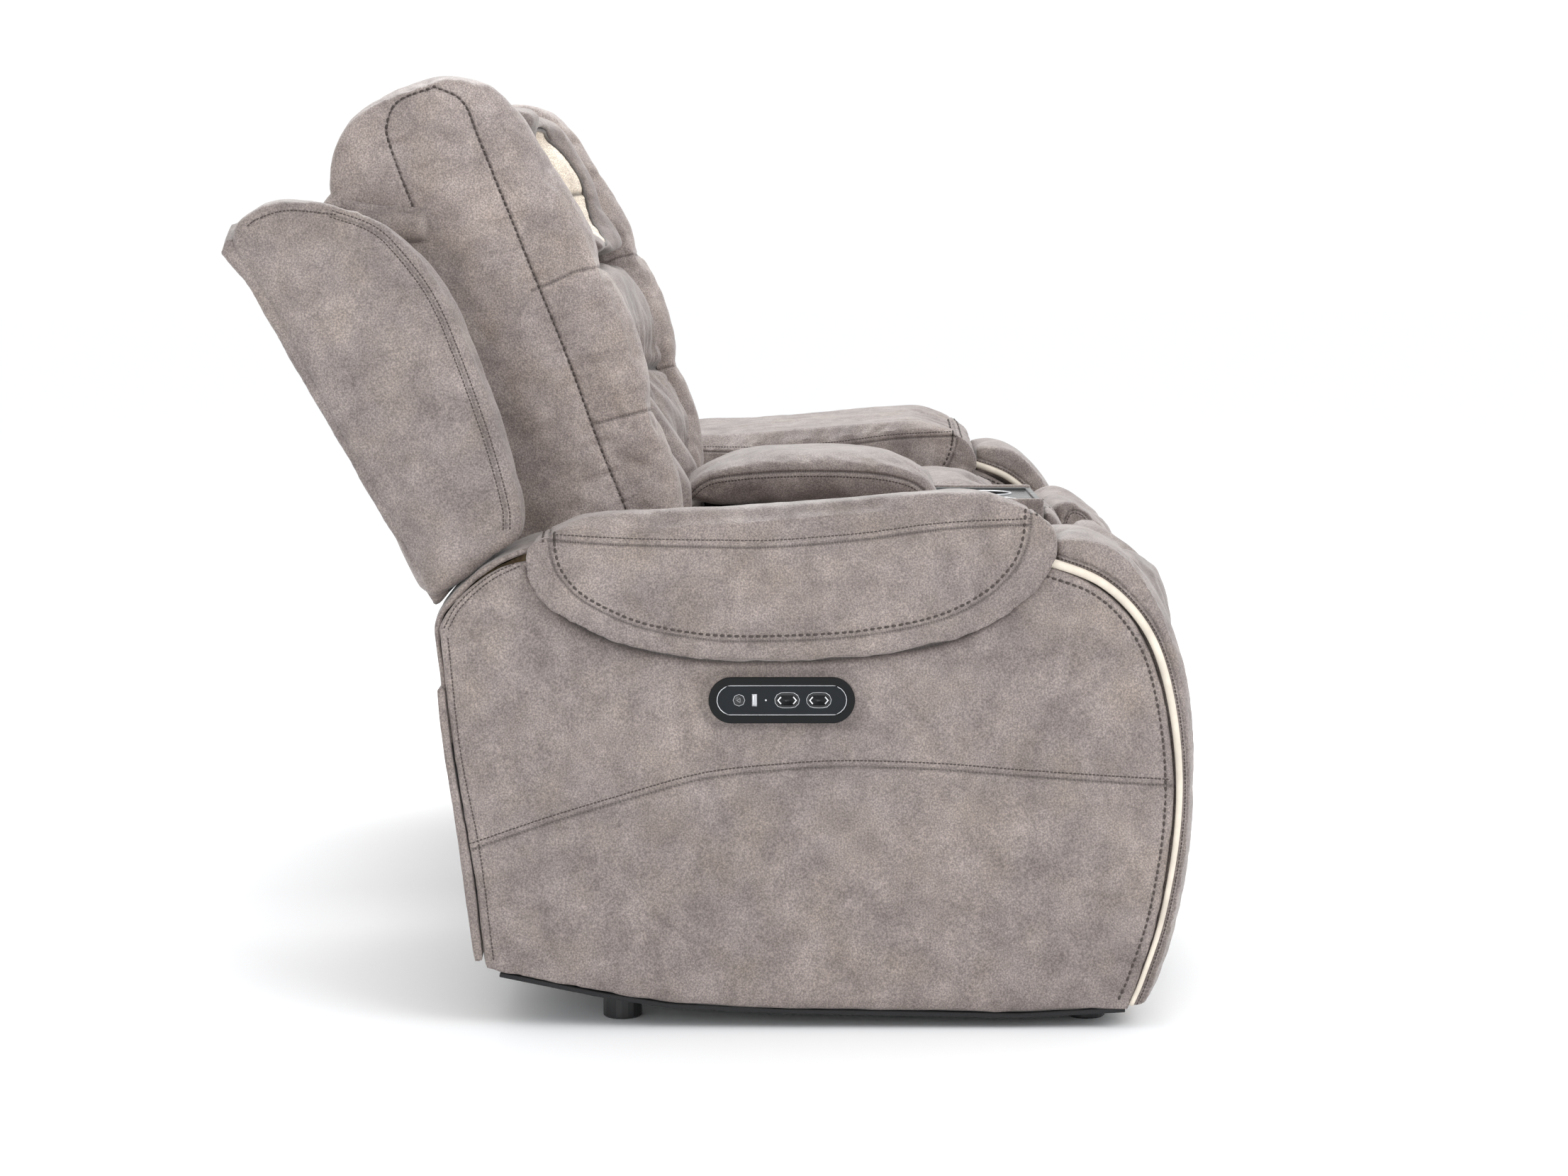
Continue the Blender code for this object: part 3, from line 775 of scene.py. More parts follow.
sidePanel = {
    "node": "right_side_panel", "name": "rightSidePanel", "body": "root", "seed": 11,
    "voxel": 0.0070, "soften": 2, "slim": (0.0015, 0.002, 0.002), "cap": 0.004, "pressure": 1.5,
    "loose": -0.006, "frames": 12, "stand": (0.0015, 0.003, 0.002), "finer": 1, "fill": 0.3,
    "room": (0.0012, 0.001, 0.001), "holdWidth": 0.010,
    "waves": ((0.16, 0.0006, (1, 1, 1)), (0.05, 0.00025, (1, 1, 1))),
    "seams": (
        {"line": waistSeam, "toward": fromOutside, "depth": 0.0032, "width": 0.0017, "pucker": 0.0008,
         "reach": 0.02, "rows": ((0.0075, "fine"),)},
        {"line": offset(frontEdge, 0.011), "toward": fromOutside, "depth": 0.0012, "width": 0.0015,
         "pucker": 0.0008, "rows": ((0.0, "dotted"),)},
        {"line": offset(rearEdge, 0.009), "toward": fromOutside, "depth": 0.0010, "width": 0.0015,
         "pucker": 0.0006, "rows": ((0.0, "fine"),)},
        {"line": offset(shoulderEdge, 0.009), "toward": fromOutside, "depth": 0.0012, "width": 0.0015,
         "pucker": 0.0006, "rows": ((0.0, "fine"), (0.005, "fine"))},
        # painted shadow under the pad's edge, in a shallow groove
        {"line": padFoot, "toward": fromOutside, "depth": 0.0030, "width": 0.0035},
        {"line": controlLoop, "toward": fromOutside, "closed": True, "depth": 0.0008, "width": 0.005,
         "pucker": 0.0005, "reach": 0.012},
    ),
}
innerPanel = {
    "node": "right_arm_inner_panel", "name": "rightInnerPanel", "body": "root", "seed": 12,
    "voxel": 0.0065, "soften": 3, "slim": (0.0015, 0.002, 0.002), "fill": 0.3,
    "waves": ((0.12, 0.0008, (1, 1, 1)),),
    "seams": (
        {"line": offset(frontEdge[:6], 0.011), "toward": fromInside, "depth": 0.0010, "width": 0.003,
         "rows": ((0.0, "dotted"),)},
    ),
}


def tuckTop(points):
    # the roll's upper end is tucked in under the arm pad
    tail = np.clip((points[:, 1] + 0.440) / 0.05, 0, 1) * np.clip((points[:, 2] - 0.515) / 0.02, 0, 1)
    points[:, 1] += 0.020 * tail
    points[:, 2] -= 0.004 * tail
    return points


frontRoll = {
    "node": "right_arm_front", "name": "rightFrontRoll", "body": "root", "seed": 13,
    "voxel": 0.0065, "soften": 7, "corner": 40, "slim": (0.004, 0.002, 0.003), "cap": 0.007,
    "pressure": 5.0, "loose": -0.02, "stand": (0.001, 0.004, 0.003), "finer": 1, "fill": 0.6,
    "shape": tuckTop, "grow": 0.003, "room": (0.002, 0.003, 0.002),
    "seams": (
        {"line": offset(frontEdge, -0.016), "toward": fromOutside, "depth": 0.0022, "width": 0.0016,
         "pucker": 0.0012, "rows": ((-0.0035, "fine"),)},
        {"line": offset(frontEdge, -0.016), "toward": fromInside, "depth": 0.0022, "width": 0.0016,
         "pucker": 0.0012, "rows": ((0.0035, "fine"),)},
    ),
}
padRing = [(-0.3555, 0.618), (-0.3560, 0.590), (-0.3520, 0.560), (-0.3380, 0.530), (-0.3050, 0.4985),
           (-0.2500, 0.4720), (-0.1650, 0.4555), (-0.0790, 0.4500), (0.0050, 0.4510), (0.0830, 0.4650),
           (0.1430, 0.4920), (0.1730, 0.5200), (0.1850, 0.5500), (0.1860, 0.5900)]
padRidge = [(0.1860, 0.5640), (0.1000, 0.5590), (-0.0200, 0.5565), (-0.0770, 0.5575), (-0.1670, 0.5650),
            (-0.2570, 0.5765), (-0.3540, 0.5815)]


def towardFront(points, edge, ahead):
    # 1 at the front edge, given as (y, z) places, and 0 from 60 mm behind it
    face = np.interp(points[:, 2], *np.array([(z, y) for y, z in reversed(edge)]).T)
    return np.clip((face + ahead - points[:, 1]) / 0.060, 0, 1)


def slopeTop(points):
    # the pad's top falls away toward the seat
    inward = np.clip((points[:, 0] + 0.915) / 0.16, 0, 1)
    points[:, 2] -= 0.014 * inward * np.clip((points[:, 2] - 0.50) / 0.06, 0, 1)
    return points


armPad = {
    "node": "right_arm_pad", "name": "rightArmPad", "body": "root", "seed": 14,
    "voxel": 0.0056, "soften": 6, "corner": 75, "slim": (0.004, 0.004, 0.004), "cap": 0.012,
    "pressure": 5.0, "loose": -0.02, "stand": (0.004, 0.004, 0.004), "finer": 1, "fill": 0.75,
    "room": (0.003, 0.002, 0.001), "shape": slopeTop,
    "holdWidth": 0.006, "waves": ((0.10, 0.0008, (1, 1, 1)), (0.03, 0.0003, (1, 1, 1))),
    "seams": tuple(
        entry for toward, sign in ((fromOutside, 1), (fromInside, -1)) for entry in (
            {"line": padRidge, "toward": toward, "depth": 0.0032, "width": 0.0017, "pucker": 0.0008,
             "rows": ((0.0070 * sign, "fine"),)},
            {"line": padRing, "toward": toward, "depth": 0.0026, "width": 0.0018, "pucker": 0.0016,
             "reach": 0.014, "rows": ((-0.0065 * sign, "dotted"),)},
        )) + (
        {"line": [(-0.972, -0.356), (-0.900, -0.358), (-0.790, -0.358), (-0.716, -0.356)],
         "toward": fromAbove, "depth": 0.0026, "width": 0.0018, "pucker": 0.001,
         "rows": ((-0.0065, "dotted"),)},
        {"line": [(-0.972, 0.186), (-0.900, 0.188), (-0.790, 0.188), (-0.716, 0.186)],
         "toward": fromAbove, "depth": 0.0026, "width": 0.0018, "pucker": 0.001,
         "rows": ((0.0065, "dotted"),)},
    ),
}
wingFront = [(0.426, 0.9395), (0.382, 0.9235), (0.351, 0.897), (0.311, 0.8435), (0.280, 0.7725),
             (0.246, 0.675), (0.227, 0.604), (0.225, 0.575)]
wingTop = [(0.5300, 0.925), (0.5150, 0.934), (0.4800, 0.943), (0.4260, 0.9385)]


def shapeWing(points):
    # the wing's skin laps over the edge of the outside back
    start, end = np.array((0.3045, 0.5025)), np.array((0.5375, 0.918))
    along = (end - start) / np.linalg.norm(end - start)
    out = np.array((along[1], -along[0]))
    behind = (points[:, 1] - start[0]) * out[0] + (points[:, 2] - start[1]) * out[1]
    lap = 0.018 * np.clip(1 + behind / 0.030, 0, 1)
    points[:, 1] += out[0] * lap
    points[:, 2] += out[1] * lap
    # and its front falls away inward, behind its outer edge
    front = towardFront(points, wingFront, 0.060)
    points[:, 1] += 0.045 * np.clip((points[:, 0] + 0.898) / 0.10, 0, 1) * front - 0.004 * front
    return points


wing = {
    "node": "right_wing", "name": "rightWing", "body": "right_back", "seed": 15,
    "voxel": 0.0065, "soften": 3, "slim": (0.001, 0.001, 0.001), "cap": 0.007, "pressure": 4.0,
    "grow": 0.003, "shape": shapeWing,
    "loose": -0.012, "stand": (0.003, 0.020, 0.014), "finer": 1, "fill": 0.7,
    "holdWidth": 0.007, "waves": ((0.09, 0.0009, (1, 1, 1)), (0.03, 0.0003, (1, 1, 1))),
    "seams": (
        {"line": offset(wingFront, 0.012), "toward": fromOutside, "depth": 0.0020, "width": 0.0016,
         "pucker": 0.0014, "reach": 0.03, "rows": ((-0.0030, "fine"), (0.0045, "fine"))},
        {"line": offset(wingTop, 0.010), "toward": fromOutside, "depth": 0.0016, "width": 0.0015,
         "pucker": 0.0006, "rows": ((0.0, "fine"),)},
    ),
}
gussetRear = [(0.3345, 1.0787), (0.3767, 1.0619), (0.3908, 1.0337), (0.3861, 1.0056), (0.3579, 0.9306),
              (0.3110, 0.8273), (0.2735, 0.7335), (0.2360, 0.6304), (0.2125, 0.5741)]
gussetFront = [(0.3345, 1.0787), (0.3017, 1.0619), (0.2829, 1.0197), (0.2548, 0.9493), (0.2172, 0.8555),
               (0.1797, 0.7617), (0.1421, 0.6585), (0.1140, 0.5882), (0.0900, 0.5300)]
upperSideSeam = [(0.2200, 0.8380), (0.1950, 0.8480), (0.1700, 0.8600), (0.1420, 0.8660)]
lowerSideSeam = [(0.1500, 0.6780), (0.1200, 0.6860), (0.0840, 0.6950)]
gusset = {"depth": 0.0030, "width": 0.0018, "pucker": 0.0024, "reach": 0.022, "rows": ((0.0, "dotted"),)}
crossSeam = {"depth": 0.0036, "width": 0.0017, "pucker": 0.001}
frontSeam = {"depth": 0.0032, "width": 0.0022, "pucker": 0.0008}


def reachBack(points):
    # the bolster's side runs back under the wing, over the edge of the frame
    rear = np.interp(points[:, 2], (0.405, 0.932), (0.148, 0.323))
    behind = np.clip(1 - (rear - points[:, 1]) / 0.040, 0, 1)
    points[:, 1] += 0.046 * behind * np.clip((0.955 - points[:, 2]) / 0.04, 0, 1)
    # and its upper front stands a little behind the headrest's rolls
    front = towardFront(points, gussetFront, 0.020)
    points[:, 1] += 0.013 * front * np.clip((points[:, 2] - 0.90) / 0.08, 0, 1)
    return points


outerBolster = {
    "node": "right_outer_bolster", "name": "rightOuterBolster", "body": "right_back", "seed": 16,
    "voxel": 0.0065, "soften": 6, "corner": 60, "slim": (0.004, 0.003, 0.003), "cap": 0.013, "grow": 0.003,
    # the outer bolster takes the lighter suede copy, its painted light
    "shape": reachBack, "room": (0.003, 0.004, 0.0), "finish": "pale",
    "pressure": 5.0, "loose": -0.03, "stand": (0.006, 0.006, 0.004), "finer": 1, "fill": 0.85,
    "holdWidth": 0.007, "waves": ((0.08, 0.0009, (1, 1, 0.6)), (0.025, 0.0004, (1, 1, 1))),
    "seams": (
        {"line": gussetFront, "toward": fromOutside, **gusset},
        {"line": gussetRear, "toward": fromOutside, **gusset},
        {"line": upperSideSeam, "toward": fromOutside, **crossSeam},
        {"line": lowerSideSeam, "toward": fromOutside, **crossSeam},
        {"line": [(-0.680, 0.866), (-0.650, 0.865), (-0.620, 0.864)], "toward": fromFront, **frontSeam},
        {"line": [(-0.680, 0.695), (-0.650, 0.694), (-0.620, 0.693)], "toward": fromFront, **frontSeam},
        {"line": upperSideSeam, "toward": fromInside, **crossSeam},
        {"line": lowerSideSeam, "toward": fromInside, **crossSeam},
        {"line": [(0.4300, 0.9180), (0.3860, 0.9250), (0.3580, 0.9300)], "toward": fromOutside,
         "depth": 0.0026, "width": 0.0016},
    ),
}


def wrapBack(points, deepest):
    # seen from above, the back stands forward at the outer bolster and falls away toward the console
    front = towardFront(points, gussetFront, 0.020)
    across = np.clip((0.62 - np.abs(points[:, 0])) / 0.42, 0, 1)
    points[:, 1] += deepest * across * front * np.clip((points[:, 2] - 0.56) / 0.20, 0, 1)
    return points


def drawIn(points):
    # the inner bolster is also a little lower than the outer one
    points = wrapBack(points, 0.080)
    points[:, 2] -= 0.010 * np.clip((points[:, 2] - 0.98) / 0.10, 0, 1)
    return points


innerBolster = {
    "node": "right_inner_bolster", "name": "rightInnerBolster", "body": "right_back", "seed": 17,
    "voxel": 0.0080, "soften": 5, "corner": 60, "slim": (0.004, 0.003, 0.003), "cap": 0.012, "grow": 0.003,
    "shape": drawIn, "room": (0.0005, 0.003, -0.008),
    "pressure": 5.0, "loose": -0.03, "stand": (0.002, 0.006, 0.004), "finer": 1, "fill": 0.85,
    "waves": ((0.08, 0.0009, (1, 1, 1)),),
    "seams": (
        {"line": gussetFront, "toward": fromInside, **gusset, "width": 0.0015},
        {"line": gussetRear, "toward": fromInside, **gusset, "width": 0.0015},
        {"line": [(-0.236, 0.864), (-0.190, 0.865), (-0.139, 0.866)], "toward": fromFront,
         "depth": 0.0036, "width": 0.0026, "pucker": 0.001},
        {"line": [(-0.236, 0.693), (-0.190, 0.694), (-0.139, 0.695)], "toward": fromFront,
         "depth": 0.0036, "width": 0.0026, "pucker": 0.001},
    ),
}
seatMiddle = -0.419


def cradle(points):
    # the headrest's front is hollowed between two rolls, which run down its sides
    side = np.abs(points[:, 0] - seatMiddle)
    front = np.clip((0.30 - points[:, 1]) / 0.08, 0, 1)
    hollow = 0.034 * np.clip(1 - (side / 0.112) ** 2, 0, 1) ** 0.8
    roll = np.interp(points[:, 2], (0.87, 0.9365, 1.03, 1.087), (0.012, 0.026, 0.016, 0.010))
    roll += 0.048 * np.clip((0.57 - np.abs(points[:, 0])) / 0.30, 0, 1)
    low = np.clip((points[:, 2] - 0.868) / 0.05, 0.25, 1)
    high = np.clip((1.085 - points[:, 2]) / 0.05, 0, 1)
    points[:, 1] += (hollow + roll) * front * low * high
    return points


insetLoop = [(seatMiddle + 0.104 * math.copysign(abs(math.cos(turn)) ** 0.7, math.cos(turn)),
              0.966 + 0.084 * math.copysign(abs(math.sin(turn)) ** 0.7, math.sin(turn)))
             for turn in [2 * math.pi * step / 24 for step in range(24)]]


def insideLoop(points, loop):
    # which points of the (x, z) plane lie inside a closed outline
    inside = np.zeros(len(points), bool)
    for (ax, az), (bx, bz) in zip(loop, loop[1:] + loop[:1]):
        crosses = (az > points[:, 1]) != (bz > points[:, 1])
        with np.errstate(divide="ignore", invalid="ignore"):
            edge = (bx - ax) * (points[:, 1] - az) / (bz - az) + ax
        inside ^= crosses & (points[:, 0] < edge)
    return inside


def paintInset(piece):
    # the cream inset of the headrest and the dark welt sewn round it
    piece.data.materials.append(materials["cream"])
    faces = piece.data.polygons
    centres = np.empty(len(faces) * 3, np.float32)
    normals = np.empty(len(faces) * 3, np.float32)
    faces.foreach_get("center", centres)
    faces.foreach_get("normal", normals)
    centres, normals = centres.reshape(-1, 3), normals.reshape(-1, 3)
    outline = smoothLine([(x, 0.0, z) for x, z in insetLoop], 0.004, True)
    chosen = insideLoop(centres[:, (0, 2)], outline[:, (0, 2)].tolist()) & (normals[:, 1] < -0.05)
    faces.foreach_set("material_index", chosen.astype(np.int32))
    entry = {"line": insetLoop, "toward": fromFront, "closed": True}
    line, facing = seamLine(piece, entry)
    welt = cordAlong("rightHeadrestWelt", line[::4] + facing[::4] * 0.0012, 0.0026, "welt", True)
    bothSides(welt, "right_headrest", None)


headrest = {
    "node": "right_headrest", "name": "rightHeadrest", "body": "right_headrest", "seed": 18,
    "voxel": 0.0070, "soften": 6, "corner": 60, "slim": (0.004, 0.007, 0.007), "cap": 0.011,
    "pressure": 5.0, "loose": -0.02, "stand": (0.001, 0.014, 0.004), "finer": 1, "fill": 0.85,
    "shape": cradle, "after": paintInset, "waves": ((0.07, 0.0007, (1, 1, 1)),),
    "seams": (
        {"line": insetLoop, "toward": fromFront, "closed": True, "depth": 0.0050, "width": 0.0045,
         "pucker": 0.0020, "reach": 0.02},
        {"line": [(seatMiddle - 0.100, 0.958), (seatMiddle, 0.950), (seatMiddle + 0.100, 0.958)],
         "toward": fromFront, "depth": 0.0040, "width": 0.0050, "pucker": 0.0020},
    ),
}


def furrow(points):
    # the lumbar pad is drawn in along its two cross seams, and hollowed a little at its middle
    side = np.abs(points[:, 0] - seatMiddle)
    front = np.clip((0.20 - points[:, 1]) / 0.10, 0, 1)
    hollow = 0.026 * np.clip(1 - (side / 0.16) ** 2, 0, 1) * np.clip((points[:, 2] - 0.60) / 0.15, 0, 1)
    points[:, 1] += hollow * front
    return wrapBack(points, 0.040)


lumbar = {
    "node": "right_lumbar_cushion", "name": "rightLumbarCushion", "body": "right_back", "seed": 19,
    "voxel": 0.0090, "soften": 5, "corner": 60, "slim": (0.002, 0.008, 0.006), "cap": 0.022,
    "pressure": 6.0, "loose": -0.06, "stand": (0.000, 0.008, 0.004), "finer": 1, "fill": 0.8,
    "shape": furrow, "holdWidth": 0.012, "waves": ((0.07, 0.0016, (1, 1, 1)),),
    "seams": (
        {"line": [(-0.592, 0.694), (-0.500, 0.702), (seatMiddle, 0.704), (-0.338, 0.702), (-0.246, 0.694)],
         "toward": fromFront, "depth": 0.0120, "width": 0.0080, "pucker": 0.0060, "reach": 0.04},
        {"line": [(-0.592, 0.560), (-0.500, 0.566), (seatMiddle, 0.568), (-0.338, 0.566), (-0.246, 0.560)],
         "toward": fromFront, "depth": 0.0100, "width": 0.0080, "pucker": 0.0050, "reach": 0.04},
    ),
}
seatCushion = {
    "node": "right_seat_cushion", "name": "rightSeatCushion", "body": "root", "seed": 20,
    "voxel": 0.0100, "soften": 6, "corner": 60, "slim": (0.005, 0.007, 0.006), "cap": 0.018,
    "pressure": 5.0, "loose": -0.03, "stand": (0.001, 0.002, 0.010), "finer": 1, "fill": 0.8,
    "waves": ((0.10, 0.0016, (1, 1, 1)), (0.03, 0.0004, (1, 1, 1))),
    "seams": tuple(
        {"line": [(x, -0.435), (x, -0.250), (x, -0.050), (x, 0.040)], "toward": fromAbove, "depth": 0.0040,
         "width": 0.0035, "pucker": 0.0024, "rows": ((0.006 * side, "dotted"),)}
        for x, side in ((-0.610, 1), (-0.228, -1))) + (
        {"line": [(-0.606, -0.150), (seatMiddle, -0.142), (-0.232, -0.150)], "toward": fromAbove,
         "depth": 0.0060, "width": 0.0050, "pucker": 0.0030, "reach": 0.03},
    ),
}


def roundEnd(points):
    # the footrest pad is rounder at its arm end, where it sits behind the arm's front roll
    end = np.clip((np.abs(points[:, 0]) - 0.52) / 0.18, 0, 1) ** 1.6
    front = np.clip((-0.46 - points[:, 1]) / 0.05, 0, 1)
    top = np.clip((points[:, 2] - 0.40) / 0.10, 0, 1)
    points[:, 1] += 0.030 * end * front
    points[:, 2] -= 0.046 * end * top
    return points


footrestEdge = [(-0.476, 0.440), (-0.482, 0.500), (-0.500, 0.509), (-0.519, 0.492), (-0.532, 0.455),
                (-0.535, 0.350), (-0.528, 0.180), (-0.510, 0.125), (-0.485, 0.125), (-0.476, 0.200)]
footrestPad = {
    "node": "right_footrest_pad", "name": "rightFootrestPad", "body": "right_footrest", "seed": 21,
    "voxel": 0.0090, "soften": 6, "corner": 60, "slim": (0.005, 0.005, 0.006), "cap": 0.014,
    "pressure": 5.0, "loose": -0.025, "stand": (0.001, 0.005, 0.004), "finer": 1, "fill": 0.8,
    "waves": ((0.10, 0.0012, (1, 1, 1)), (0.03, 0.0004, (1, 1, 1))), "shape": roundEnd,
    "seams": (
        {"line": footrestEdge, "toward": fromOutside, "closed": True, "depth": 0.0030, "width": 0.0018,
         "pucker": 0.0012, "rows": ((-0.004, "fine"),)},
        {"line": footrestEdge, "toward": fromInside, "closed": True, "depth": 0.0030, "width": 0.0018,
         "pucker": 0.0012, "rows": ((0.004, "fine"),)},
        {"line": [(-0.690, 0.330), (seatMiddle, 0.325), (-0.150, 0.330)], "toward": fromFront,
         "depth": 0.0060, "width": 0.0050, "pucker": 0.0030, "reach": 0.03},
    ),
}


def tuckEnd(points):
    # the outside back's outer end is tucked under the wing's edge
    outer = np.clip((-0.86 - points[:, 0]) / 0.06, 0, 1)
    points[:, 0] += 0.016 * outer
    points[:, 2] -= 0.016 * outer * np.clip((points[:, 2] - 0.86) / 0.05, 0, 1)
    return points


rearBack = {
    "node": "right_back_rear_panel", "name": "rightBackRearPanel", "body": "right_back", "seed": 22,
    "voxel": 0.0070, "soften": 4, "slim": (0.000, 0.000, 0.000), "fill": 0.3, "grow": 0.0030,
    "shape": tuckEnd, "room": (-0.012, 0.001, 0.000),
    "waves": ((0.16, 0.0010, (1, 1, 1)), (0.05, 0.0004, (1, 1, 1))),
    "seams": tuple(
        {"line": [(x, 0.500), (x, 0.650), (x, 0.800), (x, 0.895)], "toward": fromRear, "depth": 0.0030,
         "width": 0.0015, "pucker": 0.0010, "rows": ((0.006, "fine"), (-0.006, "fine"))}
        for x in (-0.720, -0.340)),
}
rearSkirt = {
    "node": "rear_panel", "name": "rearPanel", "body": "root", "seed": 23, "pair": False,
    "voxel": 0.0058, "soften": 2, "slim": (0.001, 0.0005, 0.001), "fill": 0.2,
    "waves": ((0.18, 0.0010, (1, 1, 1)),),
    "seams": tuple(
        {"line": [(x, 0.090), (x, 0.200), (x, 0.300), (x, 0.386)], "toward": fromRear, "depth": 0.0026,
         "width": 0.0015, "pucker": 0.0006, "rows": ((0.006, "fine"), (-0.006, "fine"))}
        for x in (-0.480, 0.480)),
}
lidSeam = [(0.047, 0.550), (0.030, 0.566), (0.005, 0.575), (-0.060, 0.5815), (-0.140, 0.583),
           (-0.210, 0.579), (-0.255, 0.568), (-0.280, 0.548)]
consoleLid = {
    "node": "console_lid", "name": "consoleLid", "body": "console_lid", "seed": 24, "pair": False,
    "voxel": 0.0060, "soften": 6, "corner": 60, "slim": (0.004, 0.004, 0.005), "cap": 0.010,
    "pressure": 5.0, "loose": -0.015, "stand": (0.003, 0.004, 0.004), "finer": 1, "fill": 0.7,
    "room": (0.002, 0.002, 0.001),
    "waves": ((0.09, 0.0006, (1, 1, 1)),),
    "seams": (
        {"line": lidSeam, "toward": fromOutside, "depth": 0.0036, "width": 0.0018, "pucker": 0.0006,
         "rows": ((-0.0065, "fine"),)},
        {"line": lidSeam, "toward": fromInside, "depth": 0.0036, "width": 0.0018, "pucker": 0.0006,
         "rows": ((0.0065, "fine"),)},
    ),
}
consoleFront = {
    "node": "console_front", "name": "consoleFront", "body": "root", "seed": 25, "pair": False,
    "voxel": 0.0050, "soften": 5, "corner": 60, "slim": (0.002, 0.001, 0.002), "cap": 0.005,
    "pressure": 4.0, "loose": -0.01, "stand": (0.001, 0.004, 0.003), "fill": 0.5,
    "seams": tuple(
        {"line": [(x, 0.530), (x, 0.400), (x, 0.250), (x, 0.080)], "toward": fromFront, "depth": 0.0030,
         "width": 0.0019, "pucker": 0.0010, "rows": ((0.005, "fine"), (-0.005, "fine"))}
        for x in (-0.070, 0.070)),
}
consoleRear = {
    "node": "console_rear", "name": "consoleRear", "body": "root", "seed": 26, "pair": False,
    "voxel": 0.0070, "soften": 5, "corner": 60, "slim": (0.002, 0.002, 0.004), "cap": 0.007,
    "pressure": 4.0, "loose": -0.01, "stand": (0.001, 0.002, 0.003), "fill": 0.6,
    "seams": (
        {"line": [(0.000, 0.070), (0.000, 0.150), (0.000, 0.235)], "toward": fromAbove, "depth": 0.003,
         "width": 0.004, "pucker": 0.001},
    ),
}

consoleBody = {
    "node": "console_box", "name": "consoleBody", "body": "root", "seed": 27, "pair": False,
    "voxel": 0.0055, "soften": 3, "slim": (0.001, 0.0, 0.001), "fill": 0.3,
    "waves": ((0.09, 0.0005, (1, 1, 1)),), "room": (0.0035, 0.0, 0.001),
    "seams": tuple(
        {"line": [(-0.284, 0.5235), (-0.180, 0.5240), (-0.060, 0.5245), (0.050, 0.5240)], "toward": toward,
         "depth": 0.0024, "width": 0.0018, "pucker": 0.0008, "rows": ((0.0, "rope"),)}
        for toward in (fromOutside, fromInside)),
}

for look in (sidePanel, innerPanel, frontRoll, armPad, wing, outerBolster, innerBolster, headrest, lumbar,
             seatCushion, footrestPad, rearBack, rearSkirt, consoleLid, consoleFront, consoleRear,
             consoleBody):
    sew(look)
layStitches()


def pill(name, centre, half, near, far, finish, edge=0.0004, corners=34):
    # a flat oval plate in the plane of the arm's side, made from a stretched cylinder
    bpy.ops.object.select_all(action="DESELECT")
    place = ((near + far) / 2, centre[0], centre[1])
    bpy.ops.mesh.primitive_cylinder_add(vertices=corners, radius=half[1], depth=abs(far - near),
                                        location=place, rotation=(0, math.pi / 2, 0))
    piece = bpy.context.object
    piece.name = name
    only(piece)
    bpy.ops.object.transform_apply(location=True, rotation=True, scale=True)
    for side in (1, -1):
        chooseCorners(piece, lambda point: (point[1] - centre[0]) * side > 0)
        bpy.ops.transform.translate(value=(0, side * (half[0] - half[1]), 0))
        bpy.ops.object.mode_set(mode="OBJECT")
    if edge:
        applyModifier(piece, "BEVEL", width=edge, segments=2, limit_method="ANGLE",
                      angle_limit=math.radians(50))
    finishHard(piece, finish)
    return piece


def chooseCorners(piece, rule):
    # leaves the piece in edit mode with only the vertices that follow the rule selected
    only(piece)
    bpy.ops.object.mode_set(mode="EDIT")
    bpy.ops.mesh.select_mode(type="VERT")
    bpy.ops.mesh.select_all(action="DESELECT")
    bpy.ops.object.mode_set(mode="OBJECT")
    for corner in piece.data.vertices:
        corner.select = bool(rule(corner.co))
    bpy.ops.object.mode_set(mode="EDIT")


def chooseFace(piece, rule):
    # the same for faces, by centre and normal
    only(piece)
    bpy.ops.object.mode_set(mode="EDIT")
    bpy.ops.mesh.select_mode(type="FACE")
    bpy.ops.mesh.select_all(action="DESELECT")
    bpy.ops.object.mode_set(mode="OBJECT")
    for face in piece.data.polygons:
        face.select = bool(rule(face.center, face.normal))
    bpy.ops.object.mode_set(mode="EDIT")


def finishHard(piece, finish, angle=35):
    piece.data.materials.clear()
    piece.data.materials.append(materials[finish])
    only(piece)
    bpy.ops.object.shade_smooth_by_angle(angle=math.radians(angle))


def box(name, low, high, finish, edge=0.001):
    bpy.ops.object.select_all(action="DESELECT")
    low, high = np.array(low), np.array(high)
    bpy.ops.mesh.primitive_cube_add(size=1, location=tuple((low + high) / 2))
    piece = bpy.context.object
    piece.name = name
    piece.scale = tuple(high - low)
    only(piece)
    bpy.ops.object.transform_apply(location=True, rotation=True, scale=True)
    if edge:
        applyModifier(piece, "BEVEL", width=edge, segments=2)
    finishHard(piece, finish)
    return piece


def cutOut(piece, tool):
    applyModifier(piece, "BOOLEAN", operation="DIFFERENCE", object=tool, solver="EXACT")
    bpy.data.objects.remove(tool)


controls = {
    "middle": (-0.076, 0.381), "half": (0.0830, 0.0262), "back": -0.9553, "face": -0.9610,
    "rim": 0.0095, "well": 0.0022, "pocket": 0.0056, "gap": 0.0006,
    "keyBack": -0.9570, "keyFace": -0.9605, "rockers": {"recline": -0.082, "headrest": -0.118},
    "rockerHalf": (0.0130, 0.0075), "rockerRing": 0.0085, "home": -0.0275, "homeRadius": 0.0055,
    "homeRing": 0.0066, "port": -0.0450, "lamp": -0.0580,
}


def ovalLoop(x, middle, reach, radius, steps):
    # the outline of an oval in the plane of the arm's side
    loop = []
    for side, start in ((1, -90), (-1, 90)):
        for step in range(steps + 1):
            turn = math.radians(start + step * 180 / steps)
            loop.append((x, middle[0] + side * reach + radius * math.cos(turn),
                         middle[1] + radius * math.sin(turn)))
    return loop


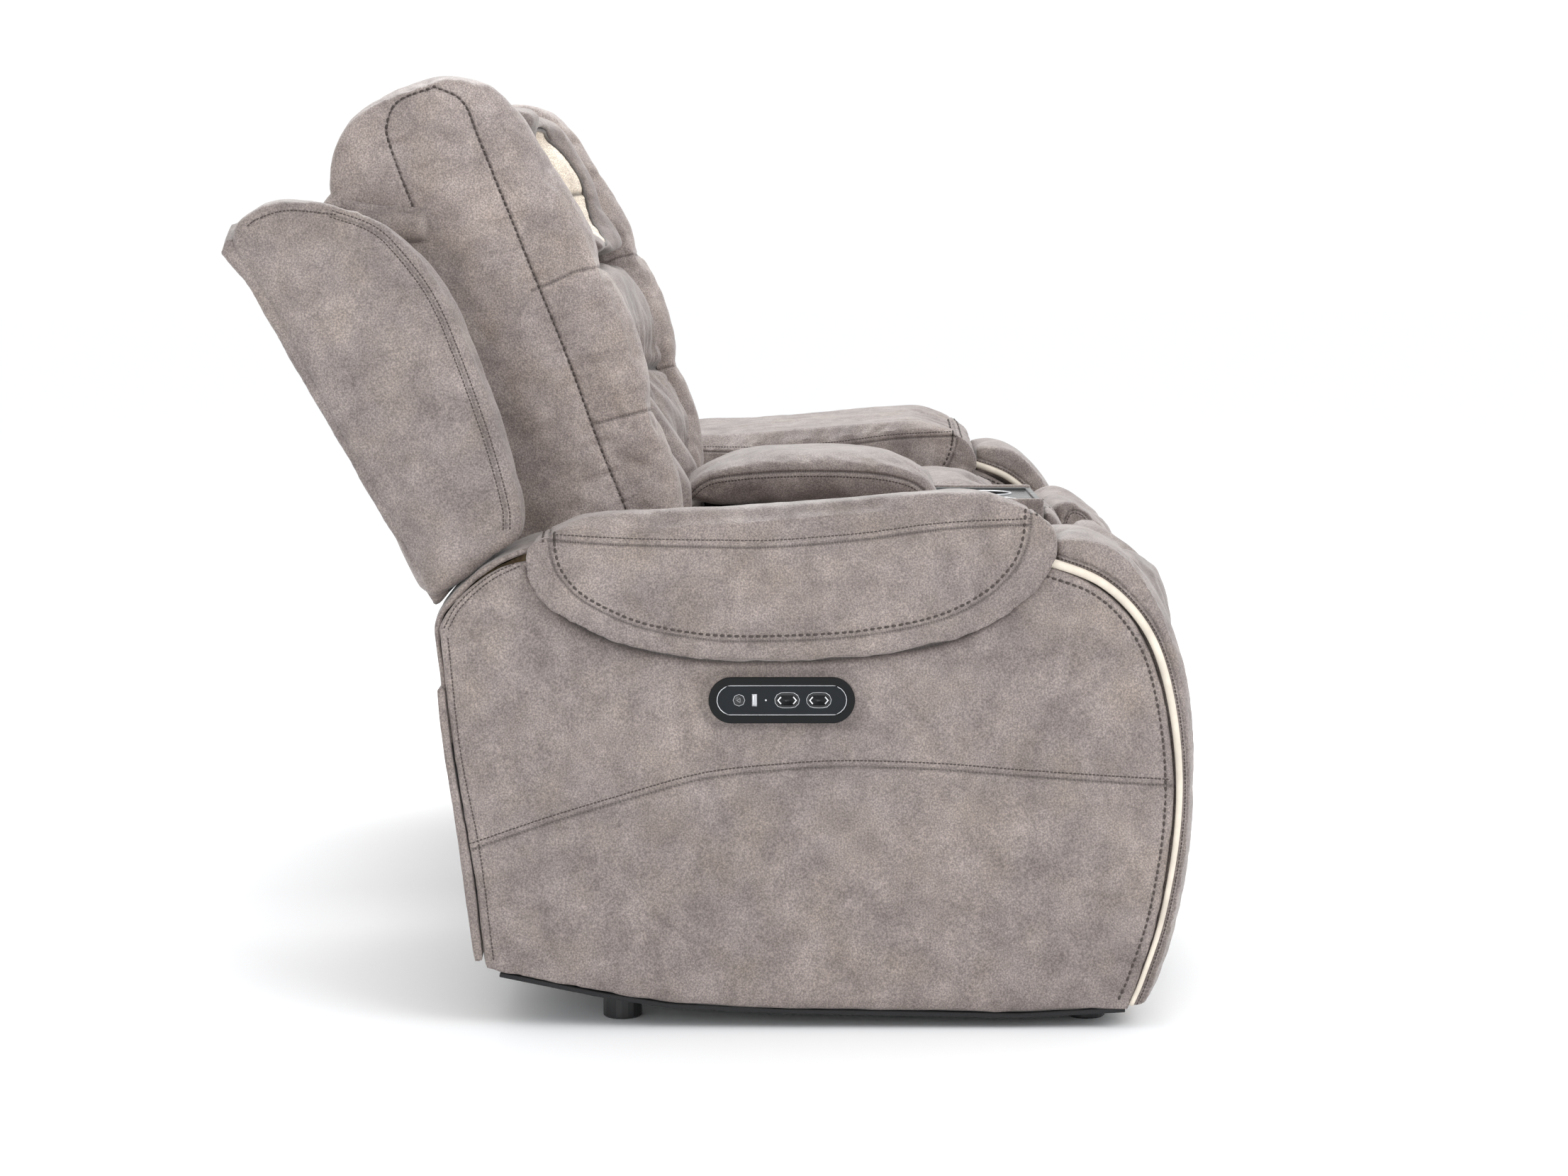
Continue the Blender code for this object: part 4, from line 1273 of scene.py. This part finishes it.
def circleLoop(x, middle, radius, steps):
    turns = [2 * math.pi * step / steps for step in range(steps)]
    return [(x, middle[0] + radius * math.cos(turn), middle[1] + radius * math.sin(turn)) for turn in turns]


def makePlate():
    # the black plate with its sunk face, and a pocket for each key and for the socket
    middle, half, face = controls["middle"], controls["half"], controls["face"]
    z = middle[1]
    plate = pill("rightControlPlate", middle, half, controls["back"], face, "panelBlack", 0, 66)
    chooseFace(plate, lambda centre, normal: normal[0] < -0.9)
    bpy.ops.mesh.inset(thickness=controls["rim"] - 0.001)
    bpy.ops.mesh.inset(thickness=0.001)
    bpy.ops.transform.translate(value=(controls["well"], 0, 0))
    bpy.ops.object.mode_set(mode="OBJECT")
    applyModifier(plate, "BEVEL", width=0.0007, segments=3, limit_method="ANGLE",
                  angle_limit=math.radians(40))
    floorFace = face + controls["well"]
    pocket = face + controls["pocket"]
    for y in controls["rockers"].values():
        room = [size + controls["gap"] for size in controls["rockerHalf"]]
        cutOut(plate, pill("cutter", (y, z), room, face - 0.01, pocket, "blackPlastic", 0))
    room = controls["homeRadius"] + controls["gap"]
    cutOut(plate, pill("cutter", (controls["home"], z), (room, room), face - 0.01, pocket,
                       "blackPlastic", 0))
    port = controls["port"]
    cutOut(plate, box("cutter", (face - 0.01, port - 0.0031, z - 0.0072),
                      (face + 0.005, port + 0.0031, z + 0.0072), "blackPlastic", 0))
    finishHard(plate, "panelBlack")
    plate.data.materials.append(materials["panelGrey"])
    for patch in plate.data.polygons:
        if patch.normal[0] < -0.9 and abs(patch.center[0] - floorFace) < 0.0004:
            patch.material_index = 1
    bothSides(plate, "root", "right_control_panel")
    radius = half[1] - controls["rim"]
    loop = ovalLoop(floorFace - 0.0003, middle, half[0] - half[1], radius, 12)
    rim = cordAlong("rightControlRim", loop, 0.0006, "silver", True)
    bothSides(rim, "root", None)


def makePort():
    # the socket's shell and tongue, and the small lamp beside it
    z = controls["middle"][1]
    port = controls["port"]
    floorFace = controls["face"] + controls["well"]
    shell = box("rightPortShell", (floorFace - 0.0006, port - 0.0030, z - 0.0071),
                (floorFace + 0.0030, port + 0.0030, z + 0.0071), "zinc", 0)
    chooseFace(shell, lambda centre, normal: normal[0] < -0.9)
    bpy.ops.mesh.inset(thickness=0.0006)
    bpy.ops.transform.translate(value=(0.0030, 0, 0))
    bpy.ops.object.mode_set(mode="OBJECT")
    finishHard(shell, "zinc")
    bothSides(shell, "root", None)
    tongue = box("rightPortTongue", (floorFace + 0.0002, port - 0.0001, z - 0.0058),
                 (floorFace + 0.0026, port + 0.0017, z + 0.0058), "silver", 0.0002)
    bothSides(tongue, "root", None)
    lamp = pill("rightLamp", (controls["lamp"], z), (0.0011, 0.0011), floorFace + 0.0010,
                floorFace - 0.0003, "zinc", 0.0002, 18)
    bothSides(lamp, "root", None)


def makeRocker(name, y):
    # an oval key with a dished face, a silver line round it and a chevron at each end
    z = controls["middle"][1]
    half = controls["rockerHalf"]
    ringPlace = controls["face"] + controls["well"] - 0.0001
    markPlace = controls["keyFace"] + 0.0001
    body = f"right_{name}_rocker"
    key = pill("right" + name.title() + "Rocker", (y, z), half, controls["keyBack"], controls["keyFace"],
               "glossBlack", 0.0008)
    dish(key)
    bothSides(key, body, body)
    loop = ovalLoop(ringPlace, (y, z), half[0] - half[1], controls["rockerRing"], 8)
    ring = cordAlong(f"right{name.title()}Ring", loop, 0.0004, "silver", True)
    bothSides(ring, "root", None)
    for side, end in ((1, "Rear"), (-1, "Front")):
        tip = y + side * 0.0104
        tail, point = tip - side * 0.0034, tip - side * 0.0004
        chevron = [(markPlace, tail, z + 0.0040), (markPlace, point, z + 0.0003),
                   (markPlace, point, z - 0.0003), (markPlace, tail, z - 0.0040)]
        mark = cordAlong(f"right{name.title()}Mark{end}", chevron, 0.0008, "whiteMark")
        bothSides(mark, body, None)


def makeHomeButton():
    centre = (controls["home"], controls["middle"][1])
    radius = controls["homeRadius"]
    home = pill("rightHomeButton", centre, (radius, radius), controls["keyBack"], controls["keyFace"],
                "glossBlack", 0.0006)
    bothSides(home, "right_home_button", "right_home_button")
    loop = circleLoop(controls["face"] + controls["well"] - 0.0001, centre, controls["homeRing"], 20)
    ring = cordAlong("rightHomeRing", loop, 0.0004, "silver", True)
    bothSides(ring, "root", None)
    loop = circleLoop(controls["keyFace"] - 0.00005, centre, 0.0026, 16)
    mark = cordAlong("rightHomeMark", loop, 0.0003, "silver", True)
    bothSides(mark, "right_home_button", None)


def dish(piece):
    # hollows a key's face for the finger
    chooseFace(piece, lambda middle, normal: normal[0] < -0.9)
    bpy.ops.mesh.inset(thickness=0.0014)
    bpy.ops.transform.translate(value=(0.0006, 0, 0))
    bpy.ops.object.mode_set(mode="OBJECT")


def makeControls():
    makePlate()
    makePort()
    for name, y in controls["rockers"].items():
        makeRocker(name, y)
    makeHomeButton()
    print("controls made")


def makePiping():
    route = offset(frontEdge, -0.0050)
    route = [(route[0][0] + 0.030, route[0][1] + 0.006)] + route
    for name, x, node in (("rightArmPiping", -0.9505, "right_arm_piping"),
                          ("rightInnerPiping", -0.7405, None)):
        piping = cordAlong(name, [(x, y, z) for y, z in route], [0.0052, 0.0049, 0.0041, 0.0033, 0.0028],
                           "piping", sides=12)
        bothSides(piping, "root", node)


def makeBackSides():
    # the upholstered side of the back, seen in the gap between the bolster and the wing
    outline = [(0.120, 0.420), (0.215, 0.442), (0.330, 0.532), (0.500, 0.830), (0.520, 0.925),
               (0.440, 0.945), (0.300, 0.930), (0.200, 0.640)]
    bpy.ops.object.select_all(action="DESELECT")
    mesh = bpy.data.meshes.new("backSide")
    count = len(outline)
    corners = [(x, y, z) for x in (-0.6990, -0.6830) for y, z in outline]
    faces = [tuple(range(count)), tuple(reversed(range(count, 2 * count)))]
    faces += [(number, number + count, (number + 1) % count + count, (number + 1) % count)
              for number in range(count)]
    mesh.from_pydata(corners, [], faces)
    side = bpy.data.objects.new("rightBackSide", mesh)
    scene.collection.objects.link(side)
    only(side)
    bpy.ops.object.mode_set(mode="EDIT")
    bpy.ops.mesh.select_all(action="SELECT")
    bpy.ops.mesh.normals_make_consistent(inside=False)
    bpy.ops.object.mode_set(mode="OBJECT")
    side.data.remesh_voxel_size = 0.005
    bpy.ops.object.voxel_remesh()
    applyModifier(side, "SMOOTH", factor=0.5, iterations=3)
    addPuffs(side, 0.06, 41, 0.0012)
    dress(side, "suede")
    bothSides(side, "right_back", None)


def makeShoulders():
    # the skin over the top and rear of the arm, from under the pad down behind the shoulder
    down = ((0.130, 0.5490), (0.205, 0.5485), (0.258, 0.5250), (0.293, 0.4935), (0.3110, 0.4620),
            (0.3050, 0.4000), (0.2975, 0.3300))
    route = smoothLine([(0, y, z) for y, z in down], 0.004)
    count = len(route)
    bpy.ops.object.select_all(action="DESELECT")
    bpy.ops.mesh.primitive_grid_add(x_subdivisions=40, y_subdivisions=count - 1, size=1)
    cover = bpy.context.object
    cover.name = "rightShoulder"
    points = readPoints(cover)
    marks = (points[:, 1] + 0.5) * (count - 1)
    crown = 0.004 * (1 - (2 * points[:, 0]) ** 2)
    steps = np.arange(count)
    along = np.gradient(route, axis=0)
    along /= np.linalg.norm(along, axis=1, keepdims=True)
    out = np.stack([np.interp(marks, steps, -along[:, 2]), np.interp(marks, steps, along[:, 1])], 1)
    points[:, 0] = -0.8450 + points[:, 0] * 0.1960
    points[:, 1] = np.interp(marks, steps, route[:, 1]) + out[:, 0] * crown
    points[:, 2] = np.interp(marks, steps, route[:, 2]) + out[:, 1] * crown
    writePoints(cover, points)
    applyModifier(cover, "SOLIDIFY", thickness=0.006, offset=1.0)
    only(cover)
    bpy.ops.object.mode_set(mode="EDIT")
    bpy.ops.mesh.select_all(action="SELECT")
    bpy.ops.mesh.normals_make_consistent(inside=False)
    bpy.ops.object.mode_set(mode="OBJECT")
    addPuffs(cover, 0.05, 42, 0.0008)
    dress(cover, "suede")
    bothSides(cover, "root", None)


def makeDustCovers():
    # black cloth under each arm, just below the edge of the side panels
    bottom = ((-0.471, 0.026), (-0.3465, 0.019), (-0.080, 0.0245), (0.053, 0.031), (0.133, 0.044),
              (0.249, 0.068))
    bpy.ops.object.select_all(action="DESELECT")
    bpy.ops.mesh.primitive_grid_add(x_subdivisions=12, y_subdivisions=60, size=1)
    cover = bpy.context.object
    cover.name = "rightDustCover"
    points = readPoints(cover)
    points[:, 0] = -0.8440 + points[:, 0] * 0.2100
    points[:, 1] = -0.1115 + points[:, 1] * 0.7150
    points[:, 2] = np.interp(points[:, 1], [y for y, z in bottom], [z for y, z in bottom]) - 0.0015
    writePoints(cover, points)
    applyModifier(cover, "SOLIDIFY", thickness=0.0050, offset=-1.0)
    applyModifier(cover, "BEVEL", width=0.001, segments=2, limit_method="ANGLE")
    dress(cover, "dustCloth")
    bothSides(cover, "root", None)


tray = {
    "low": (-0.1240, -0.4295, 0.4565), "high": (0.1240, -0.2895, 0.5440), "cupSide": 0.058,
    "cupY": -0.357, "cupRadius": 0.040, "cupFloor": 0.475,
}


def makeTray():
    piece = box("cupTray", tray["low"], tray["high"], "panelBlack", 0)
    chooseFace(piece, lambda centre, normal: normal[2] > 0.9)
    bpy.ops.mesh.inset(thickness=0.007)
    bpy.ops.mesh.inset(thickness=0.001)
    bpy.ops.transform.translate(value=(0, 0, -0.004))
    bpy.ops.object.mode_set(mode="OBJECT")
    for side in (-1, 1):
        bpy.ops.object.select_all(action="DESELECT")
        top = tray["high"][2] + 0.02
        bpy.ops.mesh.primitive_cylinder_add(
            vertices=64, radius=tray["cupRadius"], depth=top - tray["cupFloor"],
            location=(side * tray["cupSide"], tray["cupY"], (top + tray["cupFloor"]) / 2))
        cutOut(piece, bpy.context.object)
    applyModifier(piece, "BEVEL", width=0.0012, segments=3, limit_method="ANGLE",
                  angle_limit=math.radians(40))
    finishHard(piece, "glossBlack")
    settle(piece, "root", ["console_cup_deck"])
    for side, name in ((-1, "right"), (1, "left")):
        bpy.ops.object.select_all(action="DESELECT")
        bpy.ops.mesh.primitive_torus_add(
            major_segments=64, minor_segments=10, major_radius=tray["cupRadius"] + 0.0012,
            minor_radius=0.0016, location=(side * tray["cupSide"], tray["cupY"], tray["high"][2] - 0.0036))
        ring = bpy.context.object
        ring.name = name + "CupRing"
        only(ring)
        bpy.ops.object.transform_apply(location=True, rotation=True, scale=True)
        finishHard(ring, "silver")
        settle(ring, "root", ())
        cheek = box(name + "ConsoleCheek", (side * 0.1300 - 0.0045, -0.4310, 0.4480),
                    (side * 0.1300 + 0.0045, -0.2870, 0.5475), "suede", 0.003)
        cheek.data.remesh_voxel_size = 0.0030
        only(cheek)
        bpy.ops.object.voxel_remesh()
        applyModifier(cheek, "SMOOTH", factor=0.5, iterations=3)
        dress(cheek, "suede")
        settle(cheek, "root", ())
    print("tray made")


makeControls()
makePiping()
makeBackSides()
makeShoulders()
makeDustCovers()
makeTray()

for node, finish in (("arm_frame", "timber"), ("seat_frame", "timber"), ("back_frame", "backCloth"),
                     ("front_rail", "timber"), ("footrest_rear_link", "steel"),
                     ("footrest_front_link", "steel"), ("drive_block", "zinc"),
                     ("recline_motor", "blackPlastic"), ("front_foot", "blackPlastic"),
                     ("rear_foot", "blackPlastic"), ("power_inlet", "blackPlastic")):
    for name in (node, "right_" + node, "left_" + node):
        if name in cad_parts:
            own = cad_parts[name]
            for place in own.material_slots:
                place.material = materials[finish]
